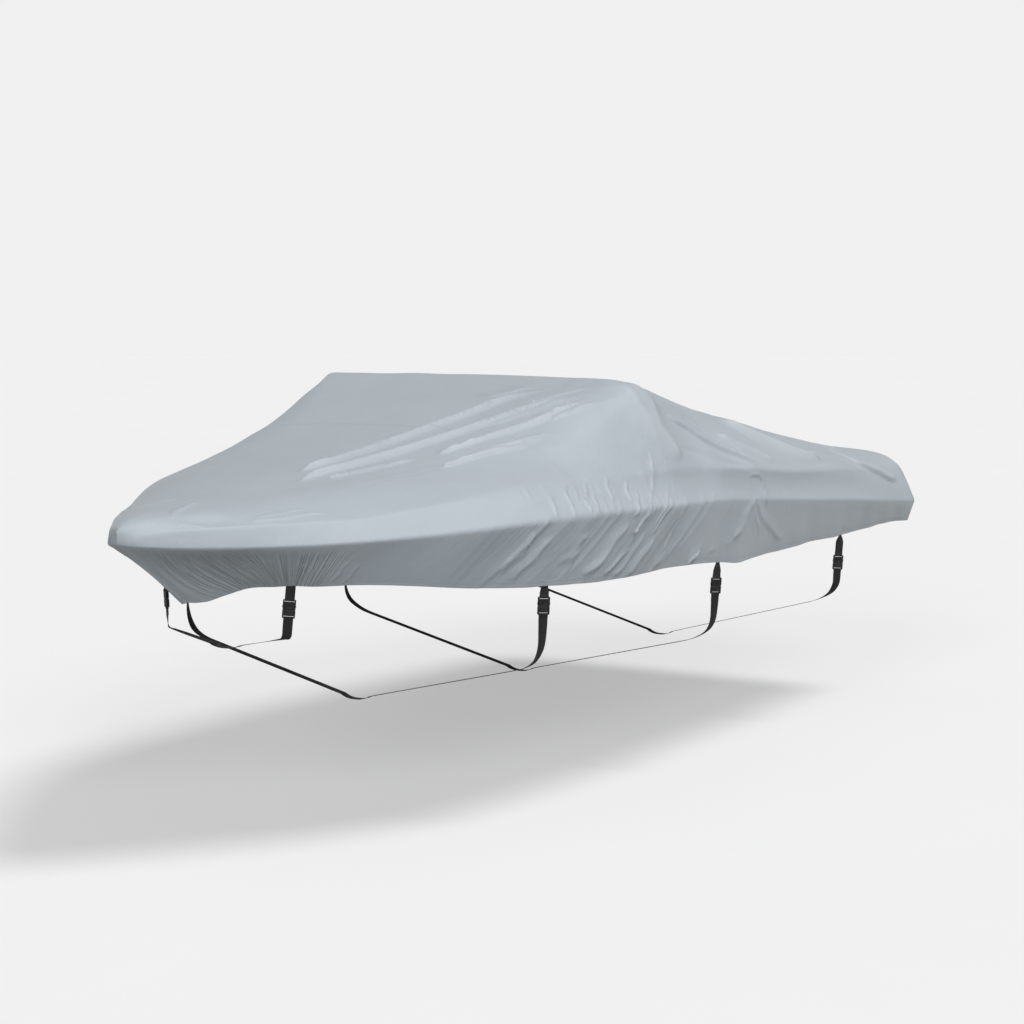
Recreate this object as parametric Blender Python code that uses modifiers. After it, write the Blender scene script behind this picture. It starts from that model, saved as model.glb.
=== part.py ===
"""Fitted cover for an open runabout, as it sits on the boat, with its strap sets.

Metres, +X towards the stern, +Y to starboard, +Z up.  The origin is under the
cloth, on the centreline, where the windscreen's top frame holds it up.
"""

import math

import bmesh
import bpy
import numpy as np
from mathutils import Matrix, Vector
from mathutils.bvhtree import BVHTree

# ---------------------------------------------------------------- driving sizes
WINDSCREEN_AFT = 2.42        # bow tip to the windscreen's top frame
CLOTH = 0.0025               # the cloth with its coating
GAP = 0.0003                 # air between touching pieces

WEB_WIDTH = 0.038            # strap webbing
WEB_THICK = 0.0016
BUCKLE_WIDTH = 0.050
BUCKLE_THICK = 0.013

# The cover's sections, bow to stern.  Aft distances start at the bow tip and
# heights are those of the outer face, from the top of the windscreen.
#  rail: the boat's edge           hem: the cloth's lower edge
#  deck: inner edge of the side deck or of the rail's roll
#  brow: the bend between the steep side and the top
#  crown: the top on the centreline
SECTION_COLUMNS = ("rail_x", "rail_y", "rail_z", "hem_x", "hem_y", "hem_z",
                   "deck_y", "deck_z", "brow_y", "brow_z", "crown_z")
SECTIONS = (
    (0.00, 0.000, -0.545, 0.379, 0.000, -0.801, 0.000, -0.532, 0.000, -0.512, -0.500),
    (0.03, 0.060, -0.549, 0.395, 0.022, -0.800, 0.056, -0.524, 0.036, -0.496, -0.482),
    (0.10, 0.130, -0.556, 0.430, 0.062, -0.793, 0.120, -0.513, 0.074, -0.482, -0.466),
    (0.20, 0.215, -0.563, 0.475, 0.120, -0.769, 0.196, -0.500, 0.116, -0.464, -0.446),
    (0.35, 0.345, -0.568, 0.545, 0.210, -0.744, 0.312, -0.489, 0.186, -0.440, -0.420),
    (0.50, 0.460, -0.569, 0.635, 0.320, -0.740, 0.412, -0.484, 0.250, -0.420, -0.397),
    (0.70, 0.605, -0.563, 0.770, 0.485, -0.744, 0.540, -0.482, 0.340, -0.398, -0.372),
    (0.90, 0.735, -0.553, 0.935, 0.655, -0.752, 0.660, -0.460, 0.420, -0.366, -0.338),
    (1.20, 0.900, -0.535, 1.200, 0.800, -0.781, 0.800, -0.422, 0.520, -0.328, -0.293),
    (1.50, 1.000, -0.523, 1.490, 0.920, -0.795, 0.890, -0.400, 0.600, -0.272, -0.240),
    (1.84, 1.055, -0.520, 1.830, 0.992, -0.808, 0.935, -0.390, 0.680, -0.186, -0.162),
    (2.12, 1.072, -0.526, 2.120, 1.010, -0.812, 0.965, -0.400, 0.748, -0.106, -0.092),
    (2.32, 1.078, -0.532, 2.320, 1.020, -0.809, 0.990, -0.395, 0.788, -0.038, -0.030),
    (2.42, 1.080, -0.535, 2.420, 1.025, -0.810, 1.005, -0.393, 0.800, -0.016, 0.000),
    (2.54, 1.080, -0.538, 2.540, 1.028, -0.812, 1.012, -0.393, 0.790, -0.022, -0.010),
    (2.68, 1.080, -0.541, 2.680, 1.030, -0.819, 1.012, -0.400, 0.772, -0.040, -0.024),
    (2.86, 1.080, -0.550, 2.860, 1.030, -0.834, 1.010, -0.412, 0.745, -0.068, -0.050),
    (3.03, 1.080, -0.562, 3.030, 1.030, -0.850, 1.006, -0.424, 0.724, -0.105, -0.092),
    (3.20, 1.080, -0.575, 3.200, 1.030, -0.845, 1.002, -0.437, 0.706, -0.140, -0.124),
    (3.55, 1.078, -0.603, 3.550, 1.028, -0.842, 0.982, -0.472, 0.675, -0.207, -0.184),
    (3.87, 1.070, -0.630, 3.870, 1.020, -0.838, 0.972, -0.490, 0.666, -0.260, -0.234),
    (4.18, 1.060, -0.655, 4.180, 1.010, -0.841, 0.962, -0.505, 0.668, -0.322, -0.291),
    (4.46, 1.050, -0.680, 4.460, 1.000, -0.839, 0.952, -0.519, 0.690, -0.380, -0.345),
    (4.74, 1.035, -0.705, 4.740, 0.990, -0.836, 0.930, -0.539, 0.722, -0.430, -0.395),
    (5.00, 1.015, -0.728, 5.000, 0.980, -0.842, 0.912, -0.556, 0.762, -0.465, -0.435),
    (5.23, 1.003, -0.747, 5.215, 0.970, -0.855, 0.925, -0.573, 0.800, -0.488, -0.462),
)

# Steps of the cloth's grid between the lines that the sections name.
FLAP_STEPS = 16              # hem to rail, and down the transom
DECK_STEPS = 8               # rail to deck
SIDE_STEPS = 16              # deck to brow
TOP_STEPS = 24               # brow to crown
HALF_STEPS = FLAP_STEPS + DECK_STEPS + SIDE_STEPS + TOP_STEPS
ROWS = 280                   # bow to stern
COVER_TRIANGLES = 5400       # left in the open sheet once it is thinned out
TRANSOM_BULGE = 0.055        # how far the cloth stands aft of its last section
TRANSOM_ROUND = 0.30         # share of the drop that its top corner takes
TRANSOM_SQUARE = 6           # the larger, the flatter across
MERGE = 1e-5                 # points nearer than this are one point

# Columns over which the cloth bends, to each side of a line.
RAIL_BEND = 1.8
DECK_BEND = 5.0
BROW_BEND = 7.5
BROW_BEND_AT_WINDSCREEN = 2.5
CROWN_BEND = 14.0
WINDSCREEN_REACH = 0.34      # the frame's edge shows this far fore and aft of it

# Folds of the top, in plan: aft of the bow tip, and to starboard.  They lie on the
# port side only.  Bow is how far a fold's middle stands to the side of the straight
# line between its ends.
FOLD_COLUMNS = ("start", "start_side", "end", "end_side", "bow", "width", "height")
TOP_FOLDS = (
    (0.94, -0.114, 2.36, -0.579, 0.115, 0.028, 0.011),
    (0.83, -0.199, 2.25, -0.685, 0.088, 0.028, 0.012),
    (1.42, -0.453, 2.23, -0.727, 0.006, 0.028, 0.009),
    (1.30, -0.554, 1.90, -0.717, 0.014, 0.028, 0.009),
)
# Folds of the sides: along the rail from the bow tip, and up the cloth from it.
SIDE_FOLDS = (
    (2.99, 0.425, 3.62, 0.164, -0.017, 0.028, 0.015),
    (3.56, 0.542, 4.73, 0.213, -0.017, 0.028, 0.014),
    (4.88, 0.243, 5.42, 0.114, -0.037, 0.028, 0.011),
    (2.45, -0.007, 2.61, 0.161, -0.026, 0.028, 0.011),
    (2.34, -0.114, 2.46, 0.000, 0.005, 0.028, 0.011),
    (2.47, -0.113, 2.60, 0.002, 0.014, 0.028, 0.009),
    (2.50, -0.126, 2.69, 0.040, 0.015, 0.028, 0.010),
    (2.67, -0.200, 2.76, -0.000, 0.011, 0.028, 0.009),
    (2.03, 0.006, 2.04, 0.082, 0.002, 0.028, 0.009),
    (2.31, -0.036, 2.45, 0.099, -0.010, 0.028, 0.010),
    (1.58, -0.216, 1.71, -0.032, -0.014, 0.032, 0.013),
    (1.65, -0.254, 1.81, -0.069, 0.003, 0.028, 0.010),
    (1.87, -0.208, 2.02, -0.068, -0.012, 0.032, 0.014),
    (1.90, -0.276, 1.99, -0.132, -0.007, 0.028, 0.009),
    (2.03, -0.273, 2.30, -0.034, -0.017, 0.032, 0.017),
    (2.24, -0.290, 2.45, -0.092, -0.017, 0.028, 0.012),
    (2.35, -0.291, 2.53, -0.127, -0.011, 0.028, 0.011),
    (2.52, -0.285, 2.67, -0.195, -0.017, 0.028, 0.009),
    (2.86, -0.277, 2.97, -0.218, -0.000, 0.028, 0.010),
    (3.26, -0.205, 3.44, 0.017, -0.006, 0.032, 0.015),
    (3.03, -0.237, 3.28, -0.198, -0.004, 0.028, 0.011),
    (0.26, 0.144, 0.57, 0.398, 0.010, 0.034, 0.008),
)
STARBOARD_SHIFT = 0.075      # the far side's folds lie this much further aft
STARBOARD_SHARE = 0.85       # and stand this much as high
GATHER_SHIFT = 0.025         # the far side's gathers lie this much further aft

# Gathers that the drawn-in hem makes round the bow.
GATHER_PITCH = 0.052         # along the rail
GATHER_END = 0.95            # the last one, aft of the stem
GATHER_FADE = 0.45           # the gathers die away over this length
GATHER_HEIGHT = 0.0065
GATHER_START = (0.015, 0.05)                # clear of the stem, and the length of the rise
GATHER_WANDER = ((0.35, 7.7), (0.25, 19.0))     # shift in pitches, waves along the rail
GATHER_LEAN = 1.1            # pitches that a pleat leans, each metre up
GATHER_DOUBLE = (0.35, 0.8)  # share and phase of the pleats between the pleats
GATHER_ROOT = 1.3            # the larger, the nearer to the hem a pleat starts
FOLD_FADE = 0.22             # share of a fold's length over which each end dies away
TROUGH_SHARE = 0.45          # a fold's trough, as a share of its height
TROUGH_AWAY = 1.7            # how far beside the ridge it lies, in half widths
TROUGH_WIDE = 1.1
FLARE = 0.75                 # share by which the flap narrows, mid-height, at the stem
FLARE_END = 0.60             # aft of the stem
FLARE_POWER = 1.5
DECK_SAG = 0.020             # the cloth hangs in between the rail and the deck line
DECK_SAG_AFT = (2.00, 0.60)  # where that starts, and the length over which it grows
DECK_SAG_END = (5.30, 0.60)  # where it ends, and the length over which it dies away
FLAP_SWELL = 0.006           # loose cloth between hem and rail
FLAP_WAVES = ((8.1, 0.0), (3.7, 1.3))       # waves along the rail, with their phases
SIDE_SWELL = 0.005           # loose cloth above the rail
SIDE_WAVES = (5.3, 4.0)      # along the rail, and up
SIDE_SWELL_UP = (0.30, 0.14)                # middle and half height above the rail
SIDE_SWELL_AFT = (1.2, 0.8)  # where it starts along the rail, and the length of the rise
FLAT_ENDS = (0.04, 0.08)     # cloth without folds at the stem and at the stern corners

# Each strap set: where it leaves the hem, along the rail; how far the buckle's
# middle hangs below the hem; how many degrees the buckle has turned towards the
# bow; and the hull's line under the buckle, as distances out from the keel and heights.
STRAPS = {
    "bow": (0.677, 0.095, 0, ((0.291, -0.940), (0.258, -0.948), (0.0, -1.000))),
    "fore": (1.845, 0.082, 24, ((0.905, -1.042), (0.876, -1.105), (0.822, -1.137),
                                (0.0, -1.335))),
    "mid": (3.173, 0.106, 34, ((1.005, -1.095), (0.975, -1.145), (0.900, -1.185),
                               (0.0, -1.405))),
    "stern": (4.587, 0.140, 52, ((0.985, -1.085), (0.955, -1.135), (0.880, -1.175),
                                 (0.0, -1.415))),
}
TAB_CALM = 0.085             # the cloth lies smooth this far along from a strap
CALM_TOP = 0.15              # and from the hem up to this far below the rail
CALM_EDGE = 0.025
TAB_INSIDE = 0.055           # length of webbing sewn inside the flap
TAB_TAIL = 0.020             # webbing turned back on itself round a bar
TAB_LIP = 0.006              # the lowest stitch line above the hem's edge
STRAP_TAIL = 0.034
TAIL_CLEAR = 0.002           # the webbing stays flat this far past a turned-back end
TWIST_LENGTH = 0.032         # a tab has done its twist this far below the hem
TWIST_STEPS = 5
UNTWIST = 0.16               # a belly strap lies flat again after this length
HEM_STEPS = 4                # rows of cloth over which the flap's slope is read
PROBE = 0.08                 # reach of the search for the cloth's inner face
PROBE_SHARES = (-0.5, -0.25, 0.0, 0.25, 0.5)    # of the webbing's width

# The buckle, in its own frame: X across, Y out from the boat, Z up to the hem.
BUCKLE_HALF = 0.036          # from its middle to the far side of either bar
BUCKLE_BEVEL = 0.0022
BAR_DEEP = 0.004             # along Z
BAR_THICK = 0.0034           # along Y
SLOT_END = 0.027             # a slot's inner end, from the buckle's middle
SLOT_WIDTH = 0.040
CUT_PAST = 0.002             # how far a cutter runs past the face that it cuts
SOCKET_MOUTH = -0.002
CAVITY_MOUTH = -0.008        # the cavity's cutter starts below the mouth
CAVITY = (0.041, 0.0072, 0.018)             # width, thickness, depth from the middle
WINDOW = (0.015, 0.030, 0.0045, 0.0035, 0.0150)    # inner, outer, half thickness, low, high
PRONG_HALF_THICK = 0.003
# One side of the plug's prongs, from the middle prong's root outwards: across, up.
PRONG_OUTLINE = (
    (0.0050, 0.0140),
    (0.0050, -0.0035),
    (0.0130, -0.0035),
    (0.0135, 0.0040),
    (0.0145, 0.0150),
    (0.0170, 0.0150),
    (0.0230, 0.0125),
    (0.0268, 0.0110),
    (0.0275, 0.0090),
    (0.0262, 0.0070),
    (0.0185, 0.0058),
    (0.0180, -0.0060),
)
LOOP_RADIUS = 0.0038         # of the webbing's middle, round a bar
LOOP_STEPS = 6
LOOP_MERGE = 3.5             # radii from a bar to where its two leaves lie flat
LEAF = (WEB_THICK + GAP) / 2
CORNER_REACH = 0.045         # how far from a corner the belly strap starts to bend
CORNER_STEPS = 3
CORNER_SHARE = 0.45          # and at most this share of the stretch before it
KEEL_SLOPE = 1.6             # reaches from the keel to where the strap starts to level
KEEL_LIFT = 0.002
WEB_CREASE = 50              # degrees between faces that shade as an edge
# Sides of a webbing's section, each with the diagonal that its faces are cut along.
# The two broad sides share one diagonal, so they stay apart where the webbing twists.
RIBBON_SIDES = ((0, 1, True), (1, 2, True), (2, 3, False), (3, 0, False))

# Colour and roughness of each material.
CLOTH_FINISH = ((0.36, 0.40, 0.43), 0.62)
WEB_FINISH = ((0.012, 0.012, 0.013), 0.75)
PLASTIC_FINISH = ((0.015, 0.015, 0.016), 0.42)


# ---------------------------------------------------------------- scene helpers
def clear_scene():
    """Remove every object that is already in the file."""
    for item in list(bpy.data.objects):
        bpy.data.objects.remove(item, do_unlink=True)


def make_material(name, colour, roughness):
    """A plain Principled material."""
    material = bpy.data.materials.new(name)
    material.use_nodes = True
    shader = material.node_tree.nodes["Principled BSDF"]
    shader.inputs["Base Color"].default_value = (*colour, 1.0)
    shader.inputs["Roughness"].default_value = roughness
    return material


def new_object(name, mesh, material, collection):
    """Put a mesh in a collection under the name of its node."""
    item = bpy.data.objects.new(name, mesh)
    mesh.materials.clear()
    mesh.materials.append(material)
    collection.objects.link(item)
    return item


# ------------------------------------------------------------ the cover's shape
def smooth_columns(knots, values, at):
    """Read the columns of a table at any place, without overshoot between rows."""
    step = np.diff(knots)[:, None]
    slope = np.diff(values, axis=0) / step
    before, after = slope[:-1], slope[1:]
    weight_a = 2 * step[1:] + step[:-1]
    weight_b = step[1:] + 2 * step[:-1]
    one_way = before * after > 0
    safe_before = np.where(one_way, before, 1.0)
    safe_after = np.where(one_way, after, 1.0)
    mean = (weight_a + weight_b) / (weight_a / safe_before + weight_b / safe_after)
    tangent = np.vstack((slope[:1], np.where(one_way, mean, 0.0), slope[-1:]))
    row = np.clip(np.searchsorted(knots, at, side="right") - 1, 0, len(step) - 1)
    t = ((at - knots[row]) / step[row, 0])[:, None]
    return ((1 + 2 * t) * (1 - t) ** 2 * values[row]
            + t * (1 - t) ** 2 * step[row] * tangent[row]
            + t * t * (3 - 2 * t) * values[row + 1]
            + t * t * (t - 1) * step[row] * tangent[row + 1])


def rail_lengths():
    """Distance along the rail, from the bow tip, of each row of SECTIONS."""
    rail = np.array(SECTIONS)[:, :3]
    return np.concatenate(([0.0], np.cumsum(np.linalg.norm(np.diff(rail, axis=0), axis=1))))


def section_lines(along):
    """The nine lines that bound the grid, port hem over the crown to starboard hem."""
    table = dict(zip(SECTION_COLUMNS, smooth_columns(rail_lengths(), np.array(SECTIONS), along).T))
    port = [
        (table["hem_x"], -table["hem_y"], table["hem_z"]),
        (table["rail_x"], -table["rail_y"], table["rail_z"]),
        (table["rail_x"], -table["deck_y"], table["deck_z"]),
        (table["rail_x"], -table["brow_y"], table["brow_z"]),
        (table["rail_x"], np.zeros_like(along), table["crown_z"]),
    ]
    starboard = [(x, -y, z) for x, y, z in reversed(port[:-1])]
    lines = np.array([np.stack(line, axis=1) for line in port + starboard])
    return lines + np.array((-WINDSCREEN_AFT, 0.0, CLOTH))


def line_columns():
    """The grid column that each of the nine lines lies on."""
    steps = (FLAP_STEPS, DECK_STEPS, SIDE_STEPS, TOP_STEPS)
    return np.concatenate(([0], np.cumsum(steps + steps[::-1])))


def line_softness(along_x):
    """Columns over which the cloth bends, to each side of each line."""
    at_windscreen = np.exp(-(along_x / WINDSCREEN_REACH) ** 2)
    ends = np.zeros_like(along_x)
    rail = np.full_like(along_x, RAIL_BEND)
    deck = np.full_like(along_x, DECK_BEND)
    crown = np.full_like(along_x, CROWN_BEND)
    brow = BROW_BEND - (BROW_BEND - BROW_BEND_AT_WINDSCREEN) * at_windscreen
    return (ends, rail, deck, brow, crown, brow, deck, rail, ends)


def smooth_sheet(along):
    """The unwrinkled sheet: one row of points for each distance along the rail."""
    lines = section_lines(along)
    places = line_columns()
    column = np.arange(places[-1] + 1)
    part = np.clip(np.searchsorted(places, column, side="right") - 1, 0, len(places) - 2)
    share = (column - places[part]) / (places[part + 1] - places[part])
    grid = (lines[part] * (1 - share)[:, None, None]
            + lines[part + 1] * share[:, None, None])
    softness = line_softness(lines[4][:, 0])
    for index in range(1, len(places) - 1):
        reach = softness[index]
        before = reach / (places[index] - places[index - 1])
        after = reach / (places[index + 1] - places[index])
        start = lines[index] + (lines[index - 1] - lines[index]) * before[:, None]
        end = lines[index] + (lines[index + 1] - lines[index]) * after[:, None]
        for c in column:
            u = (c - places[index] + reach) / (2 * reach)
            inside = (u > 0) & (u < 1)
            bend = ((1 - u) ** 2)[:, None] * start + (2 * u * (1 - u))[:, None] * lines[index]
            bend = bend + (u ** 2)[:, None] * end
            grid[c] = np.where(inside[:, None], bend, grid[c])
    down = 1 - np.minimum(column, places[-1] - column) / FLAP_STEPS
    hollow = 4 * np.clip(down, 0, 1) * (1 - np.clip(down, 0, 1))
    flare = FLARE * np.clip(1 - along / FLARE_END, 0, 1) ** FLARE_POWER
    grid[:, :, 1] *= 1 - hollow[:, None] * flare[None, :]
    sheet = grid.transpose(1, 0, 2)
    start, rise = DECK_SAG_AFT
    end, fall = DECK_SAG_END
    across = np.minimum(column, places[-1] - column)
    low = np.clip((across - FLAP_STEPS) / DECK_STEPS, 0, 1)
    here = np.clip((along - start) / rise, 0, 1) * np.clip((end - along) / fall, 0, 1)
    sag = DECK_SAG * 4 * low * (1 - low) * here[:, None]
    return sheet - sheet_normals(sheet) * sag[:, :, None]


def strap_calm(along, up):
    """1 on free cloth, falling to 0 where a strap holds the hem."""
    calm = np.ones(np.broadcast(along, up).shape)
    for strap in STRAPS.values():
        near = np.exp(-((along - strap[0]) / TAB_CALM) ** 2)
        low = 1 / (1 + np.exp((up + CALM_TOP) / CALM_EDGE))
        calm = calm * (1 - near * low)
    return calm


def fold_heights(table, first, second):
    """Sum of the ridges in a table, each with the trough that lies beside it."""
    total = np.zeros(np.broadcast(first, second).shape)
    for row in table:
        fold = dict(zip(FOLD_COLUMNS, row))
        run = fold["end"] - fold["start"]
        rise = fold["end_side"] - fold["start_side"]
        length = math.hypot(run, rise)
        t = ((first - fold["start"]) * run + (second - fold["start_side"]) * rise) / length ** 2
        off = ((second - fold["start_side"]) * run - (first - fold["start"]) * rise) / length
        off = off - fold["bow"] * 4 * t * (1 - t)
        fade = np.clip(np.minimum(t, 1 - t) / FOLD_FADE, 0, 1)
        fade = fade * fade * (3 - 2 * fade)
        ridge = np.exp(-(off / fold["width"]) ** 2)
        beside = off / fold["width"] + TROUGH_AWAY
        trough = np.exp(-(beside / TROUGH_WIDE) ** 2)
        total += fold["height"] * fade * (ridge - TROUGH_SHARE * trough)
    return total


def gather_heights(along, up, down):
    """Pleats between the rail and the hem, deepest at the hem and at the bow."""
    phase = along / GATHER_PITCH + GATHER_LEAN * up
    for share, waves in GATHER_WANDER:
        phase = phase + share * np.sin(waves * along)
    double, offset = GATHER_DOUBLE
    wave = np.sin(math.tau * phase) + double * np.sin(math.tau * 2 * phase + offset)
    start, rise = GATHER_START
    fade = np.clip((GATHER_END - along) / GATHER_FADE, 0, 1)
    fade = fade * np.clip((along - start) / rise, 0, 1)
    return GATHER_HEIGHT * wave * down ** GATHER_ROOT * fade


def slack_heights(along, up, down, side):
    """Long, low swells of loose cloth on the flap and the sides."""
    swell = np.ones(along.shape)
    for waves, phase in FLAP_WAVES:
        swell = swell * np.sin(waves * along + phase + side)
    along_waves, up_waves = SIDE_WAVES
    middle, half = SIDE_SWELL_UP
    start, rise = SIDE_SWELL_AFT
    sides = np.exp(-((up - middle) / half) ** 2)
    sides = sides * np.sin(along_waves * along + up_waves * up + side)
    sides = sides * np.clip((along - start) / rise, 0, 1)
    return FLAP_SWELL * down * swell + SIDE_SWELL * sides


def sheet_normals(grid):
    """Outward direction at each point of a grid of points."""
    down_rows = np.gradient(grid, axis=0)
    down_columns = np.gradient(grid, axis=1)
    normal = np.cross(down_rows, down_columns)
    size = np.linalg.norm(normal, axis=2, keepdims=True)
    return normal / np.maximum(size, 1e-9)


def folded_sheet(along):
    """The sheet with its folds standing on it."""
    grid = smooth_sheet(along)
    steps = np.linalg.norm(np.diff(grid, axis=1), axis=2)
    girth = np.concatenate((np.zeros((len(along), 1)), np.cumsum(steps, axis=1)), axis=1)
    port_up = girth - girth[:, FLAP_STEPS:FLAP_STEPS + 1]
    far_rail = grid.shape[1] - 1 - FLAP_STEPS
    starboard_up = girth[:, far_rail:far_rail + 1] - girth
    column = np.arange(grid.shape[1])[None, :]
    on_port = column <= HALF_STEPS
    up = np.where(on_port, port_up, starboard_up)
    down = np.clip(np.where(on_port, up / port_up[:, :1], up / starboard_up[:, -1:]), 0, 1)
    side = np.where(on_port, -1.0, 1.0)
    aft = grid[:, :, 0] + WINDSCREEN_AFT
    across = grid[:, :, 1]
    reach = np.broadcast_to(along[:, None], up.shape)
    shift = np.where(on_port, 0.0, STARBOARD_SHIFT)
    gather_shift = np.where(on_port, 0.0, GATHER_SHIFT)
    share = np.where(on_port, 1.0, STARBOARD_SHARE)
    height = share * fold_heights(SIDE_FOLDS, reach - shift, up)
    height = height + fold_heights(TOP_FOLDS, aft, across)
    height = height + gather_heights(reach + gather_shift, up, down)
    height = height + slack_heights(reach, up, down, side)
    stem, corner = FLAT_ENDS
    ends = np.clip(along / stem, 0, 1) * np.clip((along[-1] - along) / corner, 0, 1)
    height = height * strap_calm(reach, up) * (ends * ends * (3 - 2 * ends))[:, None]
    return grid + sheet_normals(grid) * height[:, :, None]


def transom_rows(last_row):
    """Rows of points that go on from the last section, down the transom."""
    first, last = FLAP_STEPS, len(last_row) - 1 - FLAP_STEPS
    corner = last_row[first]
    hem = last_row[0]
    rows = []
    for step in range(1, FLAP_STEPS + 1):
        flap = last_row[first - step]
        fall = (corner[2] - flap[2]) / (corner[2] - hem[2])
        narrow = flap[1] / corner[1]
        turn = min(fall / TRANSOM_ROUND, 1.0)
        row = last_row.copy()
        top = last_row[first:last + 1]
        width = np.abs(top[:, 1] / corner[1])
        bulge = TRANSOM_BULGE * math.sqrt(1 - (1 - turn) ** 2) * (1 - width ** TRANSOM_SQUARE)
        row[first:last + 1, 0] = top[:, 0] + (flap[0] - corner[0]) + bulge
        row[first:last + 1, 1] = top[:, 1] * narrow
        row[first:last + 1, 2] = top[:, 2] + (hem[2] - top[:, 2]) * fall
        rows.append(row)
    return np.array(rows)


def build_cover(material, collection):
    """The cover: a flat blank, notched at its two stern corners, folded over the boat."""
    along = np.linspace(0.0, rail_lengths()[-1], ROWS + 1)
    grid = folded_sheet(along)
    points = np.concatenate((grid, transom_rows(grid[-1])), axis=0)
    rows, columns = points.shape[0] - 1, points.shape[1] - 1
    blank = bmesh.new()
    bmesh.ops.create_grid(blank, x_segments=rows, y_segments=columns, size=1.0)
    notches = []
    for face in blank.faces:
        centre = face.calc_center_median()
        row = (centre.x + 1) / 2 * rows
        column = (centre.y + 1) / 2 * columns
        if row > ROWS and not FLAP_STEPS < column < columns - FLAP_STEPS:
            notches.append(face)
    bmesh.ops.delete(blank, geom=notches, context="FACES")
    for vertex in blank.verts:
        row = round((vertex.co.x + 1) / 2 * rows)
        column = round((vertex.co.y + 1) / 2 * columns)
        vertex.co = points[row, column]
    bmesh.ops.remove_doubles(blank, verts=blank.verts, dist=MERGE)
    bmesh.ops.dissolve_degenerate(blank, edges=blank.edges, dist=MERGE)
    bmesh.ops.recalc_face_normals(blank, faces=blank.faces)
    blank.normal_update()
    if sum(face.normal.z * face.calc_area() for face in blank.faces) < 0:
        bmesh.ops.reverse_faces(blank, faces=blank.faces)
    bmesh.ops.triangulate(blank, faces=blank.faces)
    triangles = len(blank.faces)
    mesh = bpy.data.meshes.new("cover_cloth")
    blank.to_mesh(mesh)
    blank.free()
    mesh.shade_smooth()
    cover = new_object("cover_cloth", mesh, material, collection)
    thin = cover.modifiers.new("thin_out", "DECIMATE")
    thin.ratio = COVER_TRIANGLES / triangles
    shell = cover.modifiers.new("cloth", "SOLIDIFY")
    shell.thickness = CLOTH
    shell.offset = -1.0
    shell.use_even_offset = True
    return cover


def ribbon(name, path, across, width, thick, material, collection):
    """Flat webbing: a rectangle carried along a path, its width along given lines."""
    shape = bmesh.new()
    rings = []
    for index, point in enumerate(path):
        ahead = path[min(index + 1, len(path) - 1)]
        behind = path[max(index - 1, 0)]
        run = (ahead - behind).normalized()
        wide = (across[index] - run * across[index].dot(run)).normalized()
        deep = run.cross(wide)
        corners = ((-1, -1), (1, -1), (1, 1), (-1, 1))
        rings.append([shape.verts.new(point + wide * (width / 2 * u) + deep * (thick / 2 * v))
                      for u, v in corners])
    for ring, after in zip(rings, rings[1:]):
        for a, b, leading in RIBBON_SIDES:
            if leading:
                cuts = ((ring[a], ring[b], after[b]), (ring[a], after[b], after[a]))
            else:
                cuts = ((ring[a], ring[b], after[a]), (ring[b], after[b], after[a]))
            for corners in cuts:
                shape.faces.new(corners)
    shape.faces.new(rings[0][::-1])
    shape.faces.new(rings[-1])
    bmesh.ops.recalc_face_normals(shape, faces=shape.faces)
    mesh = bpy.data.meshes.new(name)
    shape.to_mesh(mesh)
    shape.free()
    mesh.shade_smooth()
    mesh.set_sharp_from_angle(angle=math.radians(WEB_CREASE))
    return new_object(name, mesh, material, collection)


def bar_loop(bar, lead, out, tail):
    """Webbing turned round a bar: up from its tail behind, round, and back in front."""
    merge = LOOP_RADIUS * LOOP_MERGE
    points = [bar + lead * tail - out * LEAF, bar + lead * merge - out * LEAF]
    for step in range(LOOP_STEPS + 1):
        angle = math.pi * (step / LOOP_STEPS - 0.5)
        points.append(bar + out * (LOOP_RADIUS * math.sin(angle))
                      - lead * (LOOP_RADIUS * math.cos(angle)))
    points.append(bar + lead * merge + out * LEAF)
    points.append(bar + lead * (tail + TAIL_CLEAR) + out * LEAF)
    return points


def box_between(shape, low, high):
    """Add a box with the given low and high corners."""
    made = bmesh.ops.create_cube(shape, size=1.0)["verts"]
    size = [b - a for a, b in zip(low, high)]
    middle = [(a + b) / 2 for a, b in zip(low, high)]
    bmesh.ops.scale(shape, vec=size, verts=made)
    bmesh.ops.translate(shape, vec=middle, verts=made)
    return made


def box_object(name, low, high, collection, bevel=0.0):
    """A box on its own, with its long edges rounded where a bevel is given."""
    shape = bmesh.new()
    box_between(shape, low, high)
    if bevel:
        bmesh.ops.bevel(shape, geom=shape.edges, offset=bevel, segments=1, affect="EDGES")
    mesh = bpy.data.meshes.new(name)
    shape.to_mesh(mesh)
    shape.free()
    item = bpy.data.objects.new(name, mesh)
    collection.objects.link(item)
    return item


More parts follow.
